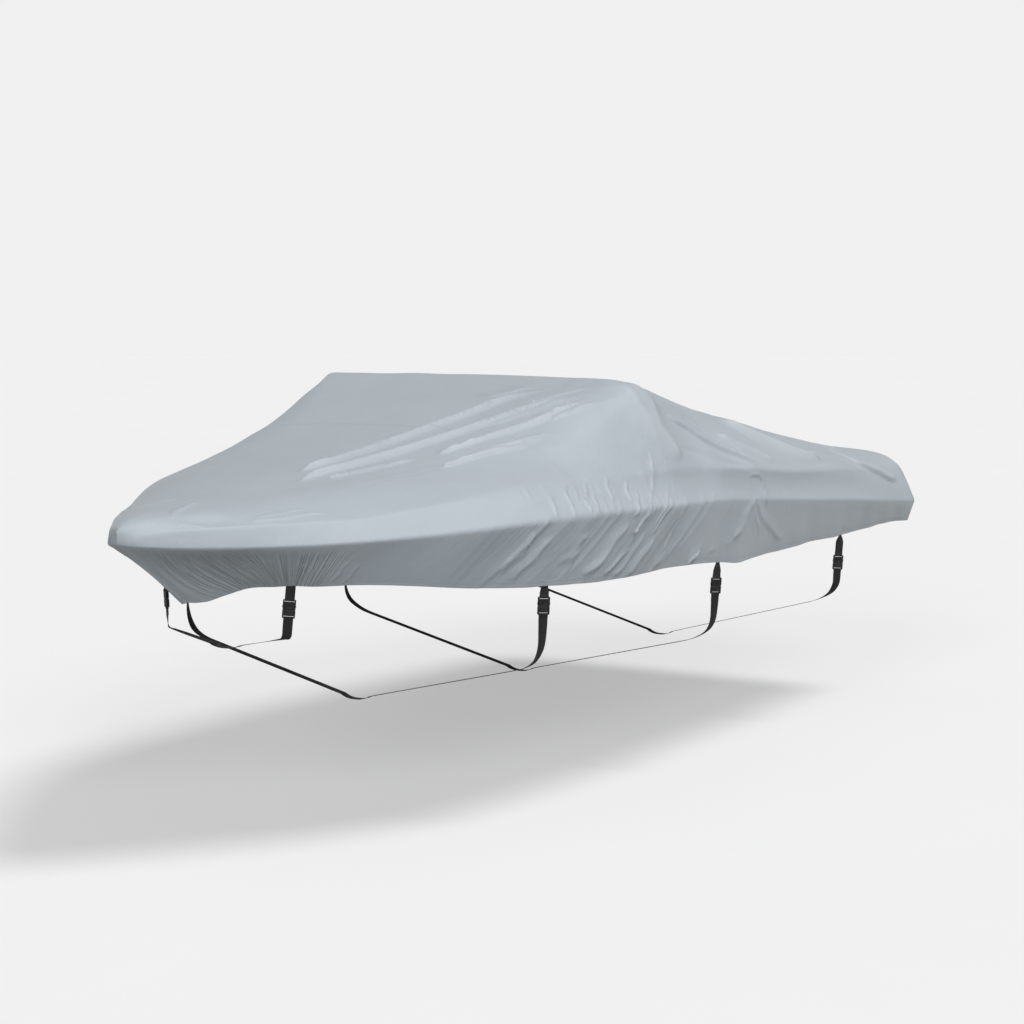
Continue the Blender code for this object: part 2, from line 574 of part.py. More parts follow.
def fork_object(name, collection):
    """The plug's three prongs, as a flat outline with thickness."""
    outline = list(PRONG_OUTLINE) + [(-x, z) for x, z in reversed(PRONG_OUTLINE)]
    curve = bpy.data.curves.new(name, "CURVE")
    curve.dimensions = "2D"
    curve.fill_mode = "BOTH"
    curve.extrude = PRONG_HALF_THICK
    spline = curve.splines.new("POLY")
    spline.points.add(len(outline) - 1)
    for point, (x, z) in zip(spline.points, outline):
        point.co = (x, z, 0.0, 1.0)
    spline.use_cyclic_u = True
    guide = bpy.data.objects.new(name + "_curve", curve)
    guide.rotation_euler.x = math.pi / 2
    collection.objects.link(guide)
    graph = bpy.context.evaluated_depsgraph_get()
    mesh = bpy.data.meshes.new_from_object(guide.evaluated_get(graph))
    mesh.name = name
    mesh.transform(guide.matrix_world)
    bpy.data.objects.remove(guide)
    shape = bmesh.new()
    shape.from_mesh(mesh)
    bmesh.ops.remove_doubles(shape, verts=shape.verts, dist=MERGE)
    bmesh.ops.recalc_face_normals(shape, faces=shape.faces)
    shape.to_mesh(mesh)
    shape.free()
    item = bpy.data.objects.new(name, mesh)
    collection.objects.link(item)
    return item


def carve(body, tools, operation):
    """Apply EXACT booleans of the given kind, one after another."""
    for tool in tools:
        cut = body.modifiers.new(tool.name, "BOOLEAN")
        cut.operation = operation
        cut.object = tool
        tool.hide_render = True
        tool.display_type = "WIRE"
    graph = bpy.context.evaluated_depsgraph_get()
    mesh = bpy.data.meshes.new_from_object(body.evaluated_get(graph))
    body.modifiers.clear()
    body.data = mesh
    for tool in tools:
        bpy.data.objects.remove(tool)


def web_cutters(sign, workshop):
    """The slot that the webbing passes and the flats that thin the bar beyond it."""
    half = SLOT_WIDTH / 2
    deep = BUCKLE_THICK
    bar = BUCKLE_HALF - BAR_DEEP
    slot = sorted((sign * SLOT_END, sign * bar))
    thin = sorted((sign * (bar - CUT_PAST), sign * (BUCKLE_HALF + CUT_PAST)))
    return [
        box_object("slot", (-half, -deep, slot[0]), (half, deep, slot[1]), workshop),
        box_object("flat_out", (-half, BAR_THICK / 2, thin[0]), (half, deep, thin[1]), workshop),
        box_object("flat_in", (-half, -deep, thin[0]), (half, -BAR_THICK / 2, thin[1]), workshop),
    ]


def buckle_meshes(workshop):
    """The two halves of a side-release buckle, closed, in the buckle's frame."""
    wide, thick = BUCKLE_WIDTH / 2, BUCKLE_THICK / 2
    room, high, deep = CAVITY
    inner, outer, half, low, top = WINDOW
    socket = box_object("socket", (-wide, -thick, SOCKET_MOUTH), (wide, thick, BUCKLE_HALF),
                        workshop, bevel=BUCKLE_BEVEL)
    tools = [
        box_object("cavity", (-room / 2, -high / 2, CAVITY_MOUTH), (room / 2, high / 2, deep),
                   workshop),
        box_object("window", (inner, -half, low), (outer, half, top), workshop),
        box_object("window", (-outer, -half, low), (-inner, half, top), workshop),
    ]
    carve(socket, tools + web_cutters(1, workshop), "DIFFERENCE")
    plug = box_object("plug", (-wide, -thick, -BUCKLE_HALF), (wide, thick, SOCKET_MOUTH - GAP),
                      workshop, bevel=BUCKLE_BEVEL)
    carve(plug, [fork_object("fork", workshop)], "UNION")
    carve(plug, web_cutters(-1, workshop), "DIFFERENCE")
    meshes = []
    for item in (socket, plug):
        meshes.append(item.data)
        bpy.data.objects.remove(item)
    return meshes


def strap_frame(along, side):
    """The hem's point above a strap, the way down the flap, out, and along the hem."""
    places = np.array((along - WEB_WIDTH, along, along + WEB_WIDTH))
    rows = smooth_sheet(places)[:, :FLAP_STEPS + 1]
    hem = Vector(rows[1, 0])
    tangent = (Vector(rows[2, 0]) - Vector(rows[0, 0])).normalized()
    down = (hem - Vector(rows[1, HEM_STEPS])).normalized()
    out = tangent.cross(down).normalized()
    if out.y > 0:
        out = -out
    flip = Vector((1, -side, 1))
    return [Vector(v[i] * flip[i] for i in range(3)) for v in (hem, down, out, tangent)]


def inside_face(tree, point, out, across):
    """How far the cloth's inner face lies from a point, over the webbing's width."""
    nearest = []
    for share in PROBE_SHARES:
        start = point + across * (share * WEB_WIDTH) - out * PROBE
        distance = tree.ray_cast(start, out, 2 * PROBE)[3]
        if distance is not None:
            nearest.append(distance - PROBE)
    return min(nearest, default=0.0)


def turned(across, fall, out, degrees):
    """The webbing's width direction after its outer face has turned towards the bow."""
    face = across.cross(fall).normalized()
    if face.dot(out) < 0:
        face = -face
    forward = 1 if across.x < 0 else -1
    angle = math.radians(degrees)
    return across * math.cos(angle) - face * (forward * math.sin(angle))


def build_strap(name, tree, buckle, materials, collection):
    """One strap set: a tab and a buckle on each side, and the strap under the hull."""
    along, drop, degrees, hull = STRAPS[name]
    socket_mesh, plug_mesh = buckle
    ends = []
    for side_name, side in (("port", -1), ("starboard", 1)):
        hem, down, out, tangent = strap_frame(along, side)
        inside = []
        for rise in (TAB_INSIDE, TAB_INSIDE / 2, TAB_LIP):
            point = hem - down * rise
            depth = inside_face(tree, point, out, tangent)
            inside.append(point + out * (depth - WEB_THICK / 2 - 2 * GAP))
        inside.append(inside[-1] + down * (2 * TAB_LIP) - out * WEB_THICK / 2)
        first = Vector((hem.x, side * hull[0][0], hull[0][1]))
        fall = (first - inside[-1]).normalized()
        across = (tangent - fall * tangent.dot(fall)).normalized()
        across = turned(across, fall, out, degrees)
        face = across.cross(fall).normalized()
        if face.dot(out) < 0:
            face = -face
        middle = inside[-1] - face * LEAF + fall * (drop - TAB_LIP)
        bar = BUCKLE_HALF - BAR_DEEP / 2
        loop = bar_loop(middle - fall * bar, -fall, face, TAB_TAIL)
        path = list(loop)
        sides = [across] * len(loop)
        free = (inside[-1] - loop[-1]).length
        for step in range(TWIST_STEPS):
            share = step / TWIST_STEPS
            below = (1 - share) * min(TWIST_LENGTH / free, 1)
            path.append(inside[-1].lerp(loop[-1], below))
            sides.append(across.lerp(tangent, share).normalized())
        path += inside[::-1]
        sides += [tangent] * len(inside)
        label = name + "_" + side_name
        ribbon("tab_" + label, path, sides, WEB_WIDTH, WEB_THICK, materials["web"], collection)
        wide = face.cross(-fall)
        place = Matrix((wide, face, -fall)).transposed().to_4x4()
        place.translation = middle
        for part_name, mesh in (("socket_", socket_mesh), ("plug_", plug_mesh)):
            item = new_object(part_name + label, mesh.copy(), materials["plastic"], collection)
            item.matrix_world = place
        ends.append((bar_loop(middle + fall * bar, fall, face, STRAP_TAIL), across))
    build_belly(name, ends, hull, materials["web"], collection)


def build_belly(name, ends, hull, material, collection):
    """The strap from one buckle down the hull, under the keel, and up to the other."""
    halves = []
    for (loop, across), side in zip(ends, (-1, 1)):
        x = loop[-1].x
        corners = [loop[-1]] + [Vector((x, side * y, z)) for y, z in hull[:-1]]
        corners.append(Vector((x, 0.0, hull[-1][1])))
        bends = soften(corners, CORNER_REACH)
        path = loop[:-1] + bends
        turn = [across] * len(loop)
        far = Vector((-1 if across.x < 0 else 1, 0, 0))
        run = 0.0
        for before, point in zip(bends, bends[1:]):
            run += (point - before).length
            turn.append(across.lerp(far, min(run / UNTWIST, 1.0)).normalized())
        halves.append((path, turn))
    (port, port_turn), (starboard, starboard_turn) = halves
    flip = -1 if port_turn[-1].dot(starboard_turn[-1]) < 0 else 1
    path = port[:-1] + starboard[::-1][1:]
    turn = port_turn[:-1] + [v * flip for v in starboard_turn[::-1][1:]]
    ribbon("strap_" + name, path, turn, WEB_WIDTH, WEB_THICK, material, collection)


def soften(corners, reach):
    """Points along a bent line whose corners are rounded, ending on its last point."""
    points = [corners[0]]
    for before, corner, after in zip(corners, corners[1:], corners[2:]):
        cut_in = min(reach, (corner - before).length * CORNER_SHARE)
        cut_out = min(reach, (after - corner).length * CORNER_SHARE)
        start = corner + (before - corner).normalized() * cut_in
        end = corner + (after - corner).normalized() * cut_out
        for step in range(CORNER_STEPS + 1):
            u = step / CORNER_STEPS
            points.append(start * (1 - u) ** 2 + corner * (2 * u * (1 - u)) + end * u ** 2)
    before, last = corners[-2], corners[-1]
    level = last + Vector((0, (before - last).y, 0)).normalized() * reach
    slope = last + (before - last).normalized() * (reach * KEEL_SLOPE)
    points += [slope, (slope + level * 2 + last) / 4 + Vector((0, 0, KEEL_LIFT)), last]
    return points


def main():
    clear_scene()
    collection = bpy.data.collections.new("boat_cover")
    workshop = bpy.data.collections.new("cutters")
    for made in (collection, workshop):
        bpy.context.scene.collection.children.link(made)
    cloth = make_material("cover_fabric", *CLOTH_FINISH)
    hardware = {
        "web": make_material("black_webbing", *WEB_FINISH),
        "plastic": make_material("black_plastic", *PLASTIC_FINISH),
    }
    cover = build_cover(cloth, collection)
    bpy.context.view_layer.update()
    tree = BVHTree.FromObject(cover, bpy.context.evaluated_depsgraph_get())
    buckle = buckle_meshes(workshop)
    for name in STRAPS:
        build_strap(name, tree, buckle, hardware, collection)


main()
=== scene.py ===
# %% [markdown]
# # A fitted cover for an open runabout
# The cover is one large cloth of coated polyester, cut to the boat and sewn up at the
# stem and at the stern corners.  Four webbing straps hold its hem down.  The boat is
# left out, so the cloth keeps the shape that the boat gave it.  Every cell below makes
# one thing and prints what it made.

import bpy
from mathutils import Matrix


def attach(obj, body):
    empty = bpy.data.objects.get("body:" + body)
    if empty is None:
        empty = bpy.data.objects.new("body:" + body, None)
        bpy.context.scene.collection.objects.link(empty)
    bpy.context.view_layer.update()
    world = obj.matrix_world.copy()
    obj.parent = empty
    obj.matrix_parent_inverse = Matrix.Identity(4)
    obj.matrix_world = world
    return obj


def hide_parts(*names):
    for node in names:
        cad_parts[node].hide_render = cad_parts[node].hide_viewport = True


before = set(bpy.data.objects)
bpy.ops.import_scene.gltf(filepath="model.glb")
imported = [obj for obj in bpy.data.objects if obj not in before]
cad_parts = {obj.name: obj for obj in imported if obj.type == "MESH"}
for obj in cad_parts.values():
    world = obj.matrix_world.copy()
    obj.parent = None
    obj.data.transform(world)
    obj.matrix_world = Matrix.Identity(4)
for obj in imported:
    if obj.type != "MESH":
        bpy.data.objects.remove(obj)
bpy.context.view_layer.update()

import math

import bmesh
import bpy
import numpy as np
from mathutils import Matrix, Vector
from mathutils.bvhtree import BVHTree

print("nodes of the frame:", len(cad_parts))

# %% [markdown]
# ## Camera
# A boat cover shows best from a few metres off the port bow, with the camera a little
# above its top, so that the bow comes forward and the stern recedes.  The camera looks
# slightly downwards, with no shift.

# %% Camera
LENS = 82.0                          # millimetres
SENSOR_WIDTH = 36.0
CAMERA_PLACE = Vector((-8.861, -5.615, 0.4175))
CAMERA_HEADING = math.radians(58.6)  # from the boat's beam towards its stern
CAMERA_DIP = math.radians(5.66)


def link(item):
    """Put an object into the scene, and hand it back."""
    bpy.context.scene.collection.objects.link(item)
    return item


def add_camera(place, heading, dip, lens):
    """Add the scene's camera at a place, looking along a heading and downwards."""
    data = bpy.data.cameras.new("camera")
    data.sensor_width = SENSOR_WIDTH
    data.lens = lens
    camera = link(bpy.data.objects.new("camera", data))
    look = Vector((math.sin(heading) * math.cos(dip), math.cos(heading) * math.cos(dip),
                   -math.sin(dip)))
    camera.location = place
    camera.rotation_euler = look.to_track_quat("-Z", "Y").to_euler()
    bpy.context.scene.camera = camera


add_camera(CAMERA_PLACE, CAMERA_HEADING, CAMERA_DIP, LENS)
print("camera at", [round(v, 2) for v in CAMERA_PLACE])

# %% [markdown]
# ## Shader maths as Python
# A finish is a sum of small patterns, and each pattern is arithmetic on coordinates.
# Wired by hand that is hundreds of nodes.  Here a `Wire` stands for one socket, and
# adding or multiplying two wires adds the Math node that does it.

# %% Wires and finishes
class Wire:
    """One shader socket that takes part in Python arithmetic."""

    def __init__(self, finish, socket):
        self.finish = finish
        self.socket = socket

    def maths(self, operation, *values):
        return self.finish.node("ShaderNodeMath", {"operation": operation}, dict(enumerate(values)))

    def __add__(self, other):
        return self.maths("ADD", self, other)

    def __sub__(self, other):
        return self.maths("SUBTRACT", self, other)

    def __rsub__(self, other):
        return self.maths("SUBTRACT", other, self)

    def __mul__(self, other):
        return self.maths("MULTIPLY", self, other)

    def __truediv__(self, other):
        return self.maths("DIVIDE", self, other)

    def __abs__(self):
        return self.maths("ABSOLUTE", self)

    def sine(self):
        return self.maths("SINE", self)

    def cosine(self):
        return self.maths("COSINE", self)

    def clamp(self):
        return self.maths("MINIMUM", self.maths("MAXIMUM", self, 0.0), 1.0)

    __radd__ = __add__
    __rmul__ = __mul__


class Finish:
    """The node tree of one material, round a Principled shader."""

    def __init__(self, name, roughness, **constants):
        self.material = bpy.data.materials.new(name)
        self.material.use_nodes = True
        self.tree = self.material.node_tree
        self.shader = self.tree.nodes["Principled BSDF"]
        self.shader.inputs["Roughness"].default_value = roughness
        for socket, value in constants.items():
            self.shader.inputs[socket.replace("_", " ")].default_value = value

    def node(self, kind, settings=(), sockets=(), output=0):
        """Add a node: its settings first, then the values or wires of its sockets."""
        made = self.tree.nodes.new(kind)
        for key, value in dict(settings).items():
            setattr(made, key, value)
        for key, value in dict(sockets).items():
            if isinstance(value, Wire):
                self.tree.links.new(value.socket, made.inputs[key])
            else:
                made.inputs[key].default_value = value
        return Wire(self, made.outputs[output])

    def place(self, layer):
        """The two coordinates, in metres, that a UV layer holds."""
        split = self.node("ShaderNodeSeparateXYZ", (), {
            0: self.node("ShaderNodeUVMap", {"uv_map": layer})})
        return split, Wire(self, split.socket.node.outputs[1])

    def object_place(self):
        """The coordinates of the object itself."""
        return self.node("ShaderNodeTexCoord", output=3)

    def noise(self, vector, scale, detail=3.0, rough=0.55):
        """A soft random pattern from 0 to 1."""
        return self.node("ShaderNodeTexNoise", (), {
            "Vector": vector, "Scale": scale, "Detail": detail, "Roughness": rough})

    def vector(self, x, y, z=0.0):
        """A vector from three numbers or wires."""
        return self.node("ShaderNodeCombineXYZ", (), {0: x, 1: y, 2: z})

    def blend(self, share, dark, light):
        """A colour between two colours; the first may be a wire."""
        return self.node("ShaderNodeMix", {"data_type": "RGBA"}, {
            0: share, 6: (*dark, 1.0) if isinstance(dark, tuple) else dark,
            7: (*light, 1.0)}, output=2)

    def feed(self, socket, wire):
        """Link a wire to a socket of the shader."""
        self.tree.links.new(wire.socket, self.shader.inputs[socket])

    def emboss(self, height, strength=1.0):
        """Bump the surface by a height in metres."""
        bump = self.node("ShaderNodeBump", (), {
            "Strength": strength, "Distance": 1.0, "Height": height})
        self.feed("Normal", bump)


print("a wire for each socket, a finish for each material")

# %% [markdown]
# ## Floor and light
# The studio is plain and pale: a wide floor at the height where a trailer's wheels would
# stand, and light from high on the port side.  Three lamps share it: one overhead, one
# off the port bow that makes the steep sides and the rolled edge of the bow the lightest
# part, and one low off the bow that rakes over the folds.  The hanging flap stays darker.
# The lamps are far away and light the whole floor evenly, so it runs into the backdrop.

# %% Floor and light
FLOOR_LEVEL = -1.7825
FLOOR_RADIUS = 60.0
FLOOR_GREYS = ((0.410, 0.410, 0.410), (0.435, 0.435, 0.435))
FLOOR_GLOW = 0.40                    # lifts the shadow, as light from the walls would
# Each lamp: the way to it, and its strength.
LAMPS = {
    "top_lamp": (Vector((0.10, -0.45, 0.88)), 2.30),
    "side_lamp": (Vector((-0.58, -0.66, 0.48)), 1.15),
    "bow_lamp": (Vector((-0.90, -0.20, 0.38)), 1.08),
}
LAMP_WIDTH = 0.36                    # radians across, for soft shadows
SKY_ABOVE = 0.20                     # what the surroundings give from above
SKY_BELOW = 0.34                     # and from the floor
HORIZON = 0.05                       # half the height over which the two blend
BACKDROP = 0.873                     # how bright the surroundings look


def mesh_object(name, shape):
    """An object in the scene whose mesh is what was modelled in a bmesh."""
    mesh = bpy.data.meshes.new(name)
    shape.to_mesh(mesh)
    shape.free()
    return link(bpy.data.objects.new(name, mesh))


def add_floor():
    """A wide round floor in pale paint."""
    shape = bmesh.new()
    bmesh.ops.create_circle(shape, cap_ends=True, segments=96, radius=FLOOR_RADIUS)
    bmesh.ops.translate(shape, vec=(0, 0, FLOOR_LEVEL), verts=shape.verts)
    floor = mesh_object("studio_floor", shape)
    paint = Finish("floor_paint", 0.75, Specular_IOR_Level=0.15, Emission_Strength=FLOOR_GLOW)
    mottle = paint.noise(paint.object_place(), 0.7, 4.0)
    paint.feed("Base Color", paint.blend(mottle, *FLOOR_GREYS))
    floor.data.materials.append(paint.material)
    floor.visible_diffuse = False
    floor.visible_glossy = False


def add_lamp(name, way, strength):
    """A soft lamp far away in a given direction."""
    data = bpy.data.lights.new(name, "SUN")
    data.angle = LAMP_WIDTH
    data.energy = strength
    lamp = link(bpy.data.objects.new(name, data))
    lamp.rotation_euler = (-way).to_track_quat("-Z", "Y").to_euler()


def light_room():
    """Soft surroundings: dim above, and below the glow of the lit floor."""
    world = bpy.data.worlds.new("studio")
    bpy.context.scene.world = world
    world.use_nodes = True
    tree = world.node_tree
    back = tree.nodes["Background"]
    where = tree.nodes.new("ShaderNodeTexCoord")
    parts = tree.nodes.new("ShaderNodeSeparateXYZ")
    ramp = tree.nodes.new("ShaderNodeMapRange")
    seen = tree.nodes.new("ShaderNodeLightPath")
    level = tree.nodes.new("ShaderNodeMix")
    tree.links.new(where.outputs["Generated"], parts.inputs[0])
    tree.links.new(parts.outputs["Z"], ramp.inputs["Value"])
    for socket, value in (("From Min", -HORIZON), ("From Max", HORIZON),
                          ("To Min", SKY_BELOW), ("To Max", SKY_ABOVE)):
        ramp.inputs[socket].default_value = value
    tree.links.new(ramp.outputs[0], level.inputs[2])
    level.inputs[3].default_value = BACKDROP
    tree.links.new(seen.outputs["Is Camera Ray"], level.inputs[0])
    tree.links.new(level.outputs[0], back.inputs["Strength"])
    back.inputs["Color"].default_value = (1.0, 1.0, 1.0, 1.0)


add_floor()
for lamp_name, (way, strength) in LAMPS.items():
    add_lamp(lamp_name, way, strength)
light_room()
bpy.context.scene.view_settings.view_transform = "Standard"
print("floor,", len(LAMPS), "lamps and soft surroundings")

# %% [markdown]
# ## The boat's shape under the cloth
# A maker takes a pattern off the boat: at stations from bow to stern, where the rail
# is, where the hem shall hang, where the side deck ends, and how high the windscreen
# and the seats hold the cloth.  The table below is that pattern.  Between stations the
# lines run smoothly, without overshoot, as battens do.

# %% Stations
WINDSCREEN_AFT = 2.42                # bow tip to the windscreen's top frame
CLOTH = 0.0025                       # the cloth with its coating
SECTION_COLUMNS = ("rail_x", "rail_y", "rail_z", "hem_x", "hem_y", "hem_z",
                   "deck_y", "deck_z", "brow_y", "brow_z", "crown_z")
SECTIONS = (
    (0.00, 0.000, -0.539, 0.379, 0.000, -0.801, 0.000, -0.523, 0.000, -0.501, -0.491),
    (0.03, 0.060, -0.547, 0.395, 0.022, -0.800, 0.056, -0.516, 0.036, -0.483, -0.466),
    (0.10, 0.130, -0.556, 0.430, 0.062, -0.793, 0.120, -0.502, 0.074, -0.458, -0.440),
    (0.20, 0.215, -0.563, 0.475, 0.120, -0.769, 0.196, -0.491, 0.116, -0.446, -0.427),
    (0.35, 0.345, -0.568, 0.545, 0.210, -0.744, 0.312, -0.487, 0.186, -0.432, -0.412),
    (0.50, 0.460, -0.569, 0.635, 0.320, -0.740, 0.412, -0.484, 0.250, -0.420, -0.397),
    (0.70, 0.605, -0.563, 0.770, 0.485, -0.744, 0.540, -0.482, 0.340, -0.398, -0.372),
    (0.90, 0.735, -0.553, 0.935, 0.655, -0.752, 0.660, -0.460, 0.420, -0.366, -0.338),
    (1.20, 0.900, -0.535, 1.200, 0.800, -0.781, 0.800, -0.422, 0.520, -0.328, -0.293),
    (1.50, 1.000, -0.523, 1.490, 0.920, -0.795, 0.890, -0.400, 0.600, -0.272, -0.240),
    (1.84, 1.055, -0.520, 1.830, 0.992, -0.808, 0.935, -0.390, 0.680, -0.186, -0.162),
    (2.12, 1.072, -0.526, 2.120, 1.010, -0.812, 0.965, -0.400, 0.748, -0.094, -0.081),
    (2.32, 1.078, -0.532, 2.320, 1.020, -0.809, 0.990, -0.395, 0.788, -0.050, -0.039),
    (2.40, 1.0796, -0.5344, 2.400, 1.024, -0.8098, 1.002, -0.3934, 0.798, -0.0195, -0.0075),
    (2.42, 1.080, -0.535, 2.420, 1.025, -0.810, 1.005, -0.393, 0.800, -0.012, 0.000),
    (2.54, 1.080, -0.538, 2.540, 1.028, -0.812, 1.012, -0.393, 0.790, -0.022, -0.010),
    (2.68, 1.080, -0.541, 2.680, 1.030, -0.819, 1.012, -0.400, 0.772, -0.040, -0.024),
    (2.86, 1.080, -0.550, 2.860, 1.030, -0.834, 1.044, -0.412, 0.745, -0.068, -0.050),
    (3.03, 1.080, -0.562, 3.030, 1.030, -0.850, 1.049, -0.424, 0.724, -0.105, -0.092),
    (3.20, 1.080, -0.575, 3.200, 1.030, -0.845, 1.052, -0.437, 0.706, -0.140, -0.124),
    (3.55, 1.078, -0.603, 3.550, 1.028, -0.842, 1.043, -0.472, 0.675, -0.207, -0.184),
    (3.87, 1.070, -0.630, 3.870, 1.020, -0.838, 1.033, -0.490, 0.666, -0.260, -0.234),
    (4.18, 1.060, -0.655, 4.180, 1.010, -0.841, 1.020, -0.505, 0.668, -0.322, -0.291),
    (4.46, 1.050, -0.680, 4.460, 1.000, -0.839, 0.997, -0.519, 0.690, -0.380, -0.345),
    (4.74, 1.035, -0.705, 4.740, 0.990, -0.836, 0.972, -0.539, 0.722, -0.430, -0.395),
    (5.00, 1.015, -0.728, 5.000, 0.980, -0.842, 0.948, -0.556, 0.762, -0.465, -0.435),
    (5.23, 1.003, -0.747, 5.215, 0.970, -0.855, 0.925, -0.573, 0.800, -0.488, -0.462),
)


def smooth_columns(knots, values, at):
    """Read the columns of a table at any place, without overshoot between rows."""
    step = np.diff(knots)[:, None]
    slope = np.diff(values, axis=0) / step
    before, after = slope[:-1], slope[1:]
    weight_a = 2 * step[1:] + step[:-1]
    weight_b = step[1:] + 2 * step[:-1]
    one_way = before * after > 0
    safe_before = np.where(one_way, before, 1.0)
    safe_after = np.where(one_way, after, 1.0)
    mean = (weight_a + weight_b) / (weight_a / safe_before + weight_b / safe_after)
    tangent = np.vstack((slope[:1], np.where(one_way, mean, 0.0), slope[-1:]))
    row = np.clip(np.searchsorted(knots, at, side="right") - 1, 0, len(step) - 1)
    t = ((at - knots[row]) / step[row, 0])[:, None]
    return ((1 + 2 * t) * (1 - t) ** 2 * values[row]
            + t * (1 - t) ** 2 * step[row] * tangent[row]
            + t * t * (3 - 2 * t) * values[row + 1]
            + t * t * (t - 1) * step[row] * tangent[row + 1])


def rail_lengths():
    """Distance along the rail, from the bow tip, of each station."""
    rail = np.array(SECTIONS)[:, :3]
    return np.concatenate(([0.0], np.cumsum(np.linalg.norm(np.diff(rail, axis=0), axis=1))))


RAIL_LENGTH = rail_lengths()[-1]


def section_lines(along):
    """The nine lines of the pattern, port hem over the crown to starboard hem."""
    read = smooth_columns(rail_lengths(), np.array(SECTIONS), along)
    table = dict(zip(SECTION_COLUMNS, read.T))
    port = [
        (table["hem_x"], -table["hem_y"], table["hem_z"]),
        (table["rail_x"], -table["rail_y"], table["rail_z"]),
        (table["rail_x"], -table["deck_y"], table["deck_z"]),
        (table["rail_x"], -table["brow_y"], table["brow_z"]),
        (table["rail_x"], np.zeros_like(along), table["crown_z"]),
    ]
    starboard = [(x, -y, z) for x, y, z in reversed(port[:-1])]
    lines = np.array([np.stack(line, axis=1) for line in port + starboard])
    return lines + np.array((-WINDSCREEN_AFT, 0.0, CLOTH))


print("stations:", len(SECTIONS), "rail length", round(RAIL_LENGTH, 3), "m")

# %% [markdown]
# ## The cloth before it creases
# Cloth bends where something stands under it: tightly over the rail and the screen's
# frame, loosely elsewhere.  So each line of the pattern gets a softness, and a short
# parabola replaces the corner there.

# %% Smooth sheet
FLAP_STEPS = 32                      # hem to rail, and down the transom
DECK_STEPS = 16                      # rail to the side deck's inner edge
SIDE_STEPS = 44                      # on to the brow
TOP_STEPS = 72                       # on to the crown
HALF_STEPS = FLAP_STEPS + DECK_STEPS + SIDE_STEPS + TOP_STEPS
ROWS_BOW = 300                       # to where the pleats of the bow end
ROWS_AFT = 600
ROWS = ROWS_BOW + ROWS_AFT
BOW_END = 1.15                       # along the rail
FLARE = 0.75                         # the flap narrows by this share at the stem
FLARE_END = 0.60
RAIL_BEND = 1.8
DECK_BEND = 10.0
DECK_BEND_CRISP = 2.0
BROW_BEND = 21.0
BROW_AT_WINDSCREEN = (12.0, 3.0)     # port, starboard
CROWN_BEND = 42.0
WINDSCREEN_REACH = 0.34
CRISP_DECKS = ((0.85, 0.75), (3.55, 1.15))   # middle and half length, along the rail
DECK_SAG = 0.012                     # the cloth hangs in between the rail and the deck line
DECK_SAG_AFT = (2.00, 0.60)          # where that starts, and the length of its rise
DECK_SAG_END = (5.30, 0.60)          # where it ends, and the length of its fall


def line_softness(along, x):
    """Columns over which the cloth bends, to each side of each line."""
    at_windscreen = np.exp(-(x / WINDSCREEN_REACH) ** 2)
    crisp = np.zeros_like(along)
    for middle, half in CRISP_DECKS:
        crisp = np.maximum(crisp, np.exp(-((along - middle) / half) ** 6))
    ends = np.zeros_like(along)
    rail = np.full_like(along, RAIL_BEND)
    deck = DECK_BEND - (DECK_BEND - DECK_BEND_CRISP) * crisp
    port, starboard = (BROW_BEND - (BROW_BEND - tight) * at_windscreen
                       for tight in BROW_AT_WINDSCREEN)
    crown = np.full_like(along, CROWN_BEND)
    return (ends, rail, deck, port, crown, starboard, deck, rail, ends)


def smooth_sheet(along):
    """The unwrinkled sheet: one row of points for each distance along the rail."""
    lines = section_lines(along)
    steps = (FLAP_STEPS, DECK_STEPS, SIDE_STEPS, TOP_STEPS)
    places = np.concatenate(([0], np.cumsum(steps + steps[::-1])))
    column = np.arange(places[-1] + 1)
    part = np.clip(np.searchsorted(places, column, side="right") - 1, 0, len(places) - 2)
    share = (column - places[part]) / (places[part + 1] - places[part])
    grid = (lines[part] * (1 - share)[:, None, None]
            + lines[part + 1] * share[:, None, None])
    softness = line_softness(along, lines[4][:, 0])
    for index in range(1, len(places) - 1):
        reach = softness[index]
        before = reach / (places[index] - places[index - 1])
        after = reach / (places[index + 1] - places[index])
        start = lines[index] + (lines[index - 1] - lines[index]) * before[:, None]
        end = lines[index] + (lines[index + 1] - lines[index]) * after[:, None]
        for c in column:
            u = (c - places[index] + reach) / (2 * reach)
            inside = (u > 0) & (u < 1)
            if inside.any():
                bend = ((1 - u) ** 2)[:, None] * start + (2 * u * (1 - u))[:, None] * lines[index]
                bend = bend + (u ** 2)[:, None] * end
                grid[c] = np.where(inside[:, None], bend, grid[c])
    down = 1 - np.minimum(column, places[-1] - column) / FLAP_STEPS
    hollow = 4 * np.clip(down, 0, 1) * (1 - np.clip(down, 0, 1))
    flare = FLARE * np.clip(1 - along / FLARE_END, 0, 1) ** 1.5
    grid[:, :, 1] *= 1 - hollow[:, None] * flare[None, :]
    sheet = grid.transpose(1, 0, 2)
    start, rise = DECK_SAG_AFT
    end, fall = DECK_SAG_END
    across = np.minimum(column, places[-1] - column)
    low = np.clip((across - FLAP_STEPS) / DECK_STEPS, 0, 1)
    here = np.clip((along - start) / rise, 0, 1) * np.clip((end - along) / fall, 0, 1)
    sag = DECK_SAG * 4 * low * (1 - low) * here[:, None]
    return sheet - sheet_normals(sheet) * sag[:, :, None]


def row_places():
    """Where the grid's rows cross the rail: closer together at the bow."""
    bow = np.linspace(0.0, BOW_END, ROWS_BOW, endpoint=False)
    return np.concatenate((bow, np.linspace(BOW_END, RAIL_LENGTH, ROWS_AFT + 1)))


print("grid:", ROWS, "rows by", 2 * HALF_STEPS, "columns")

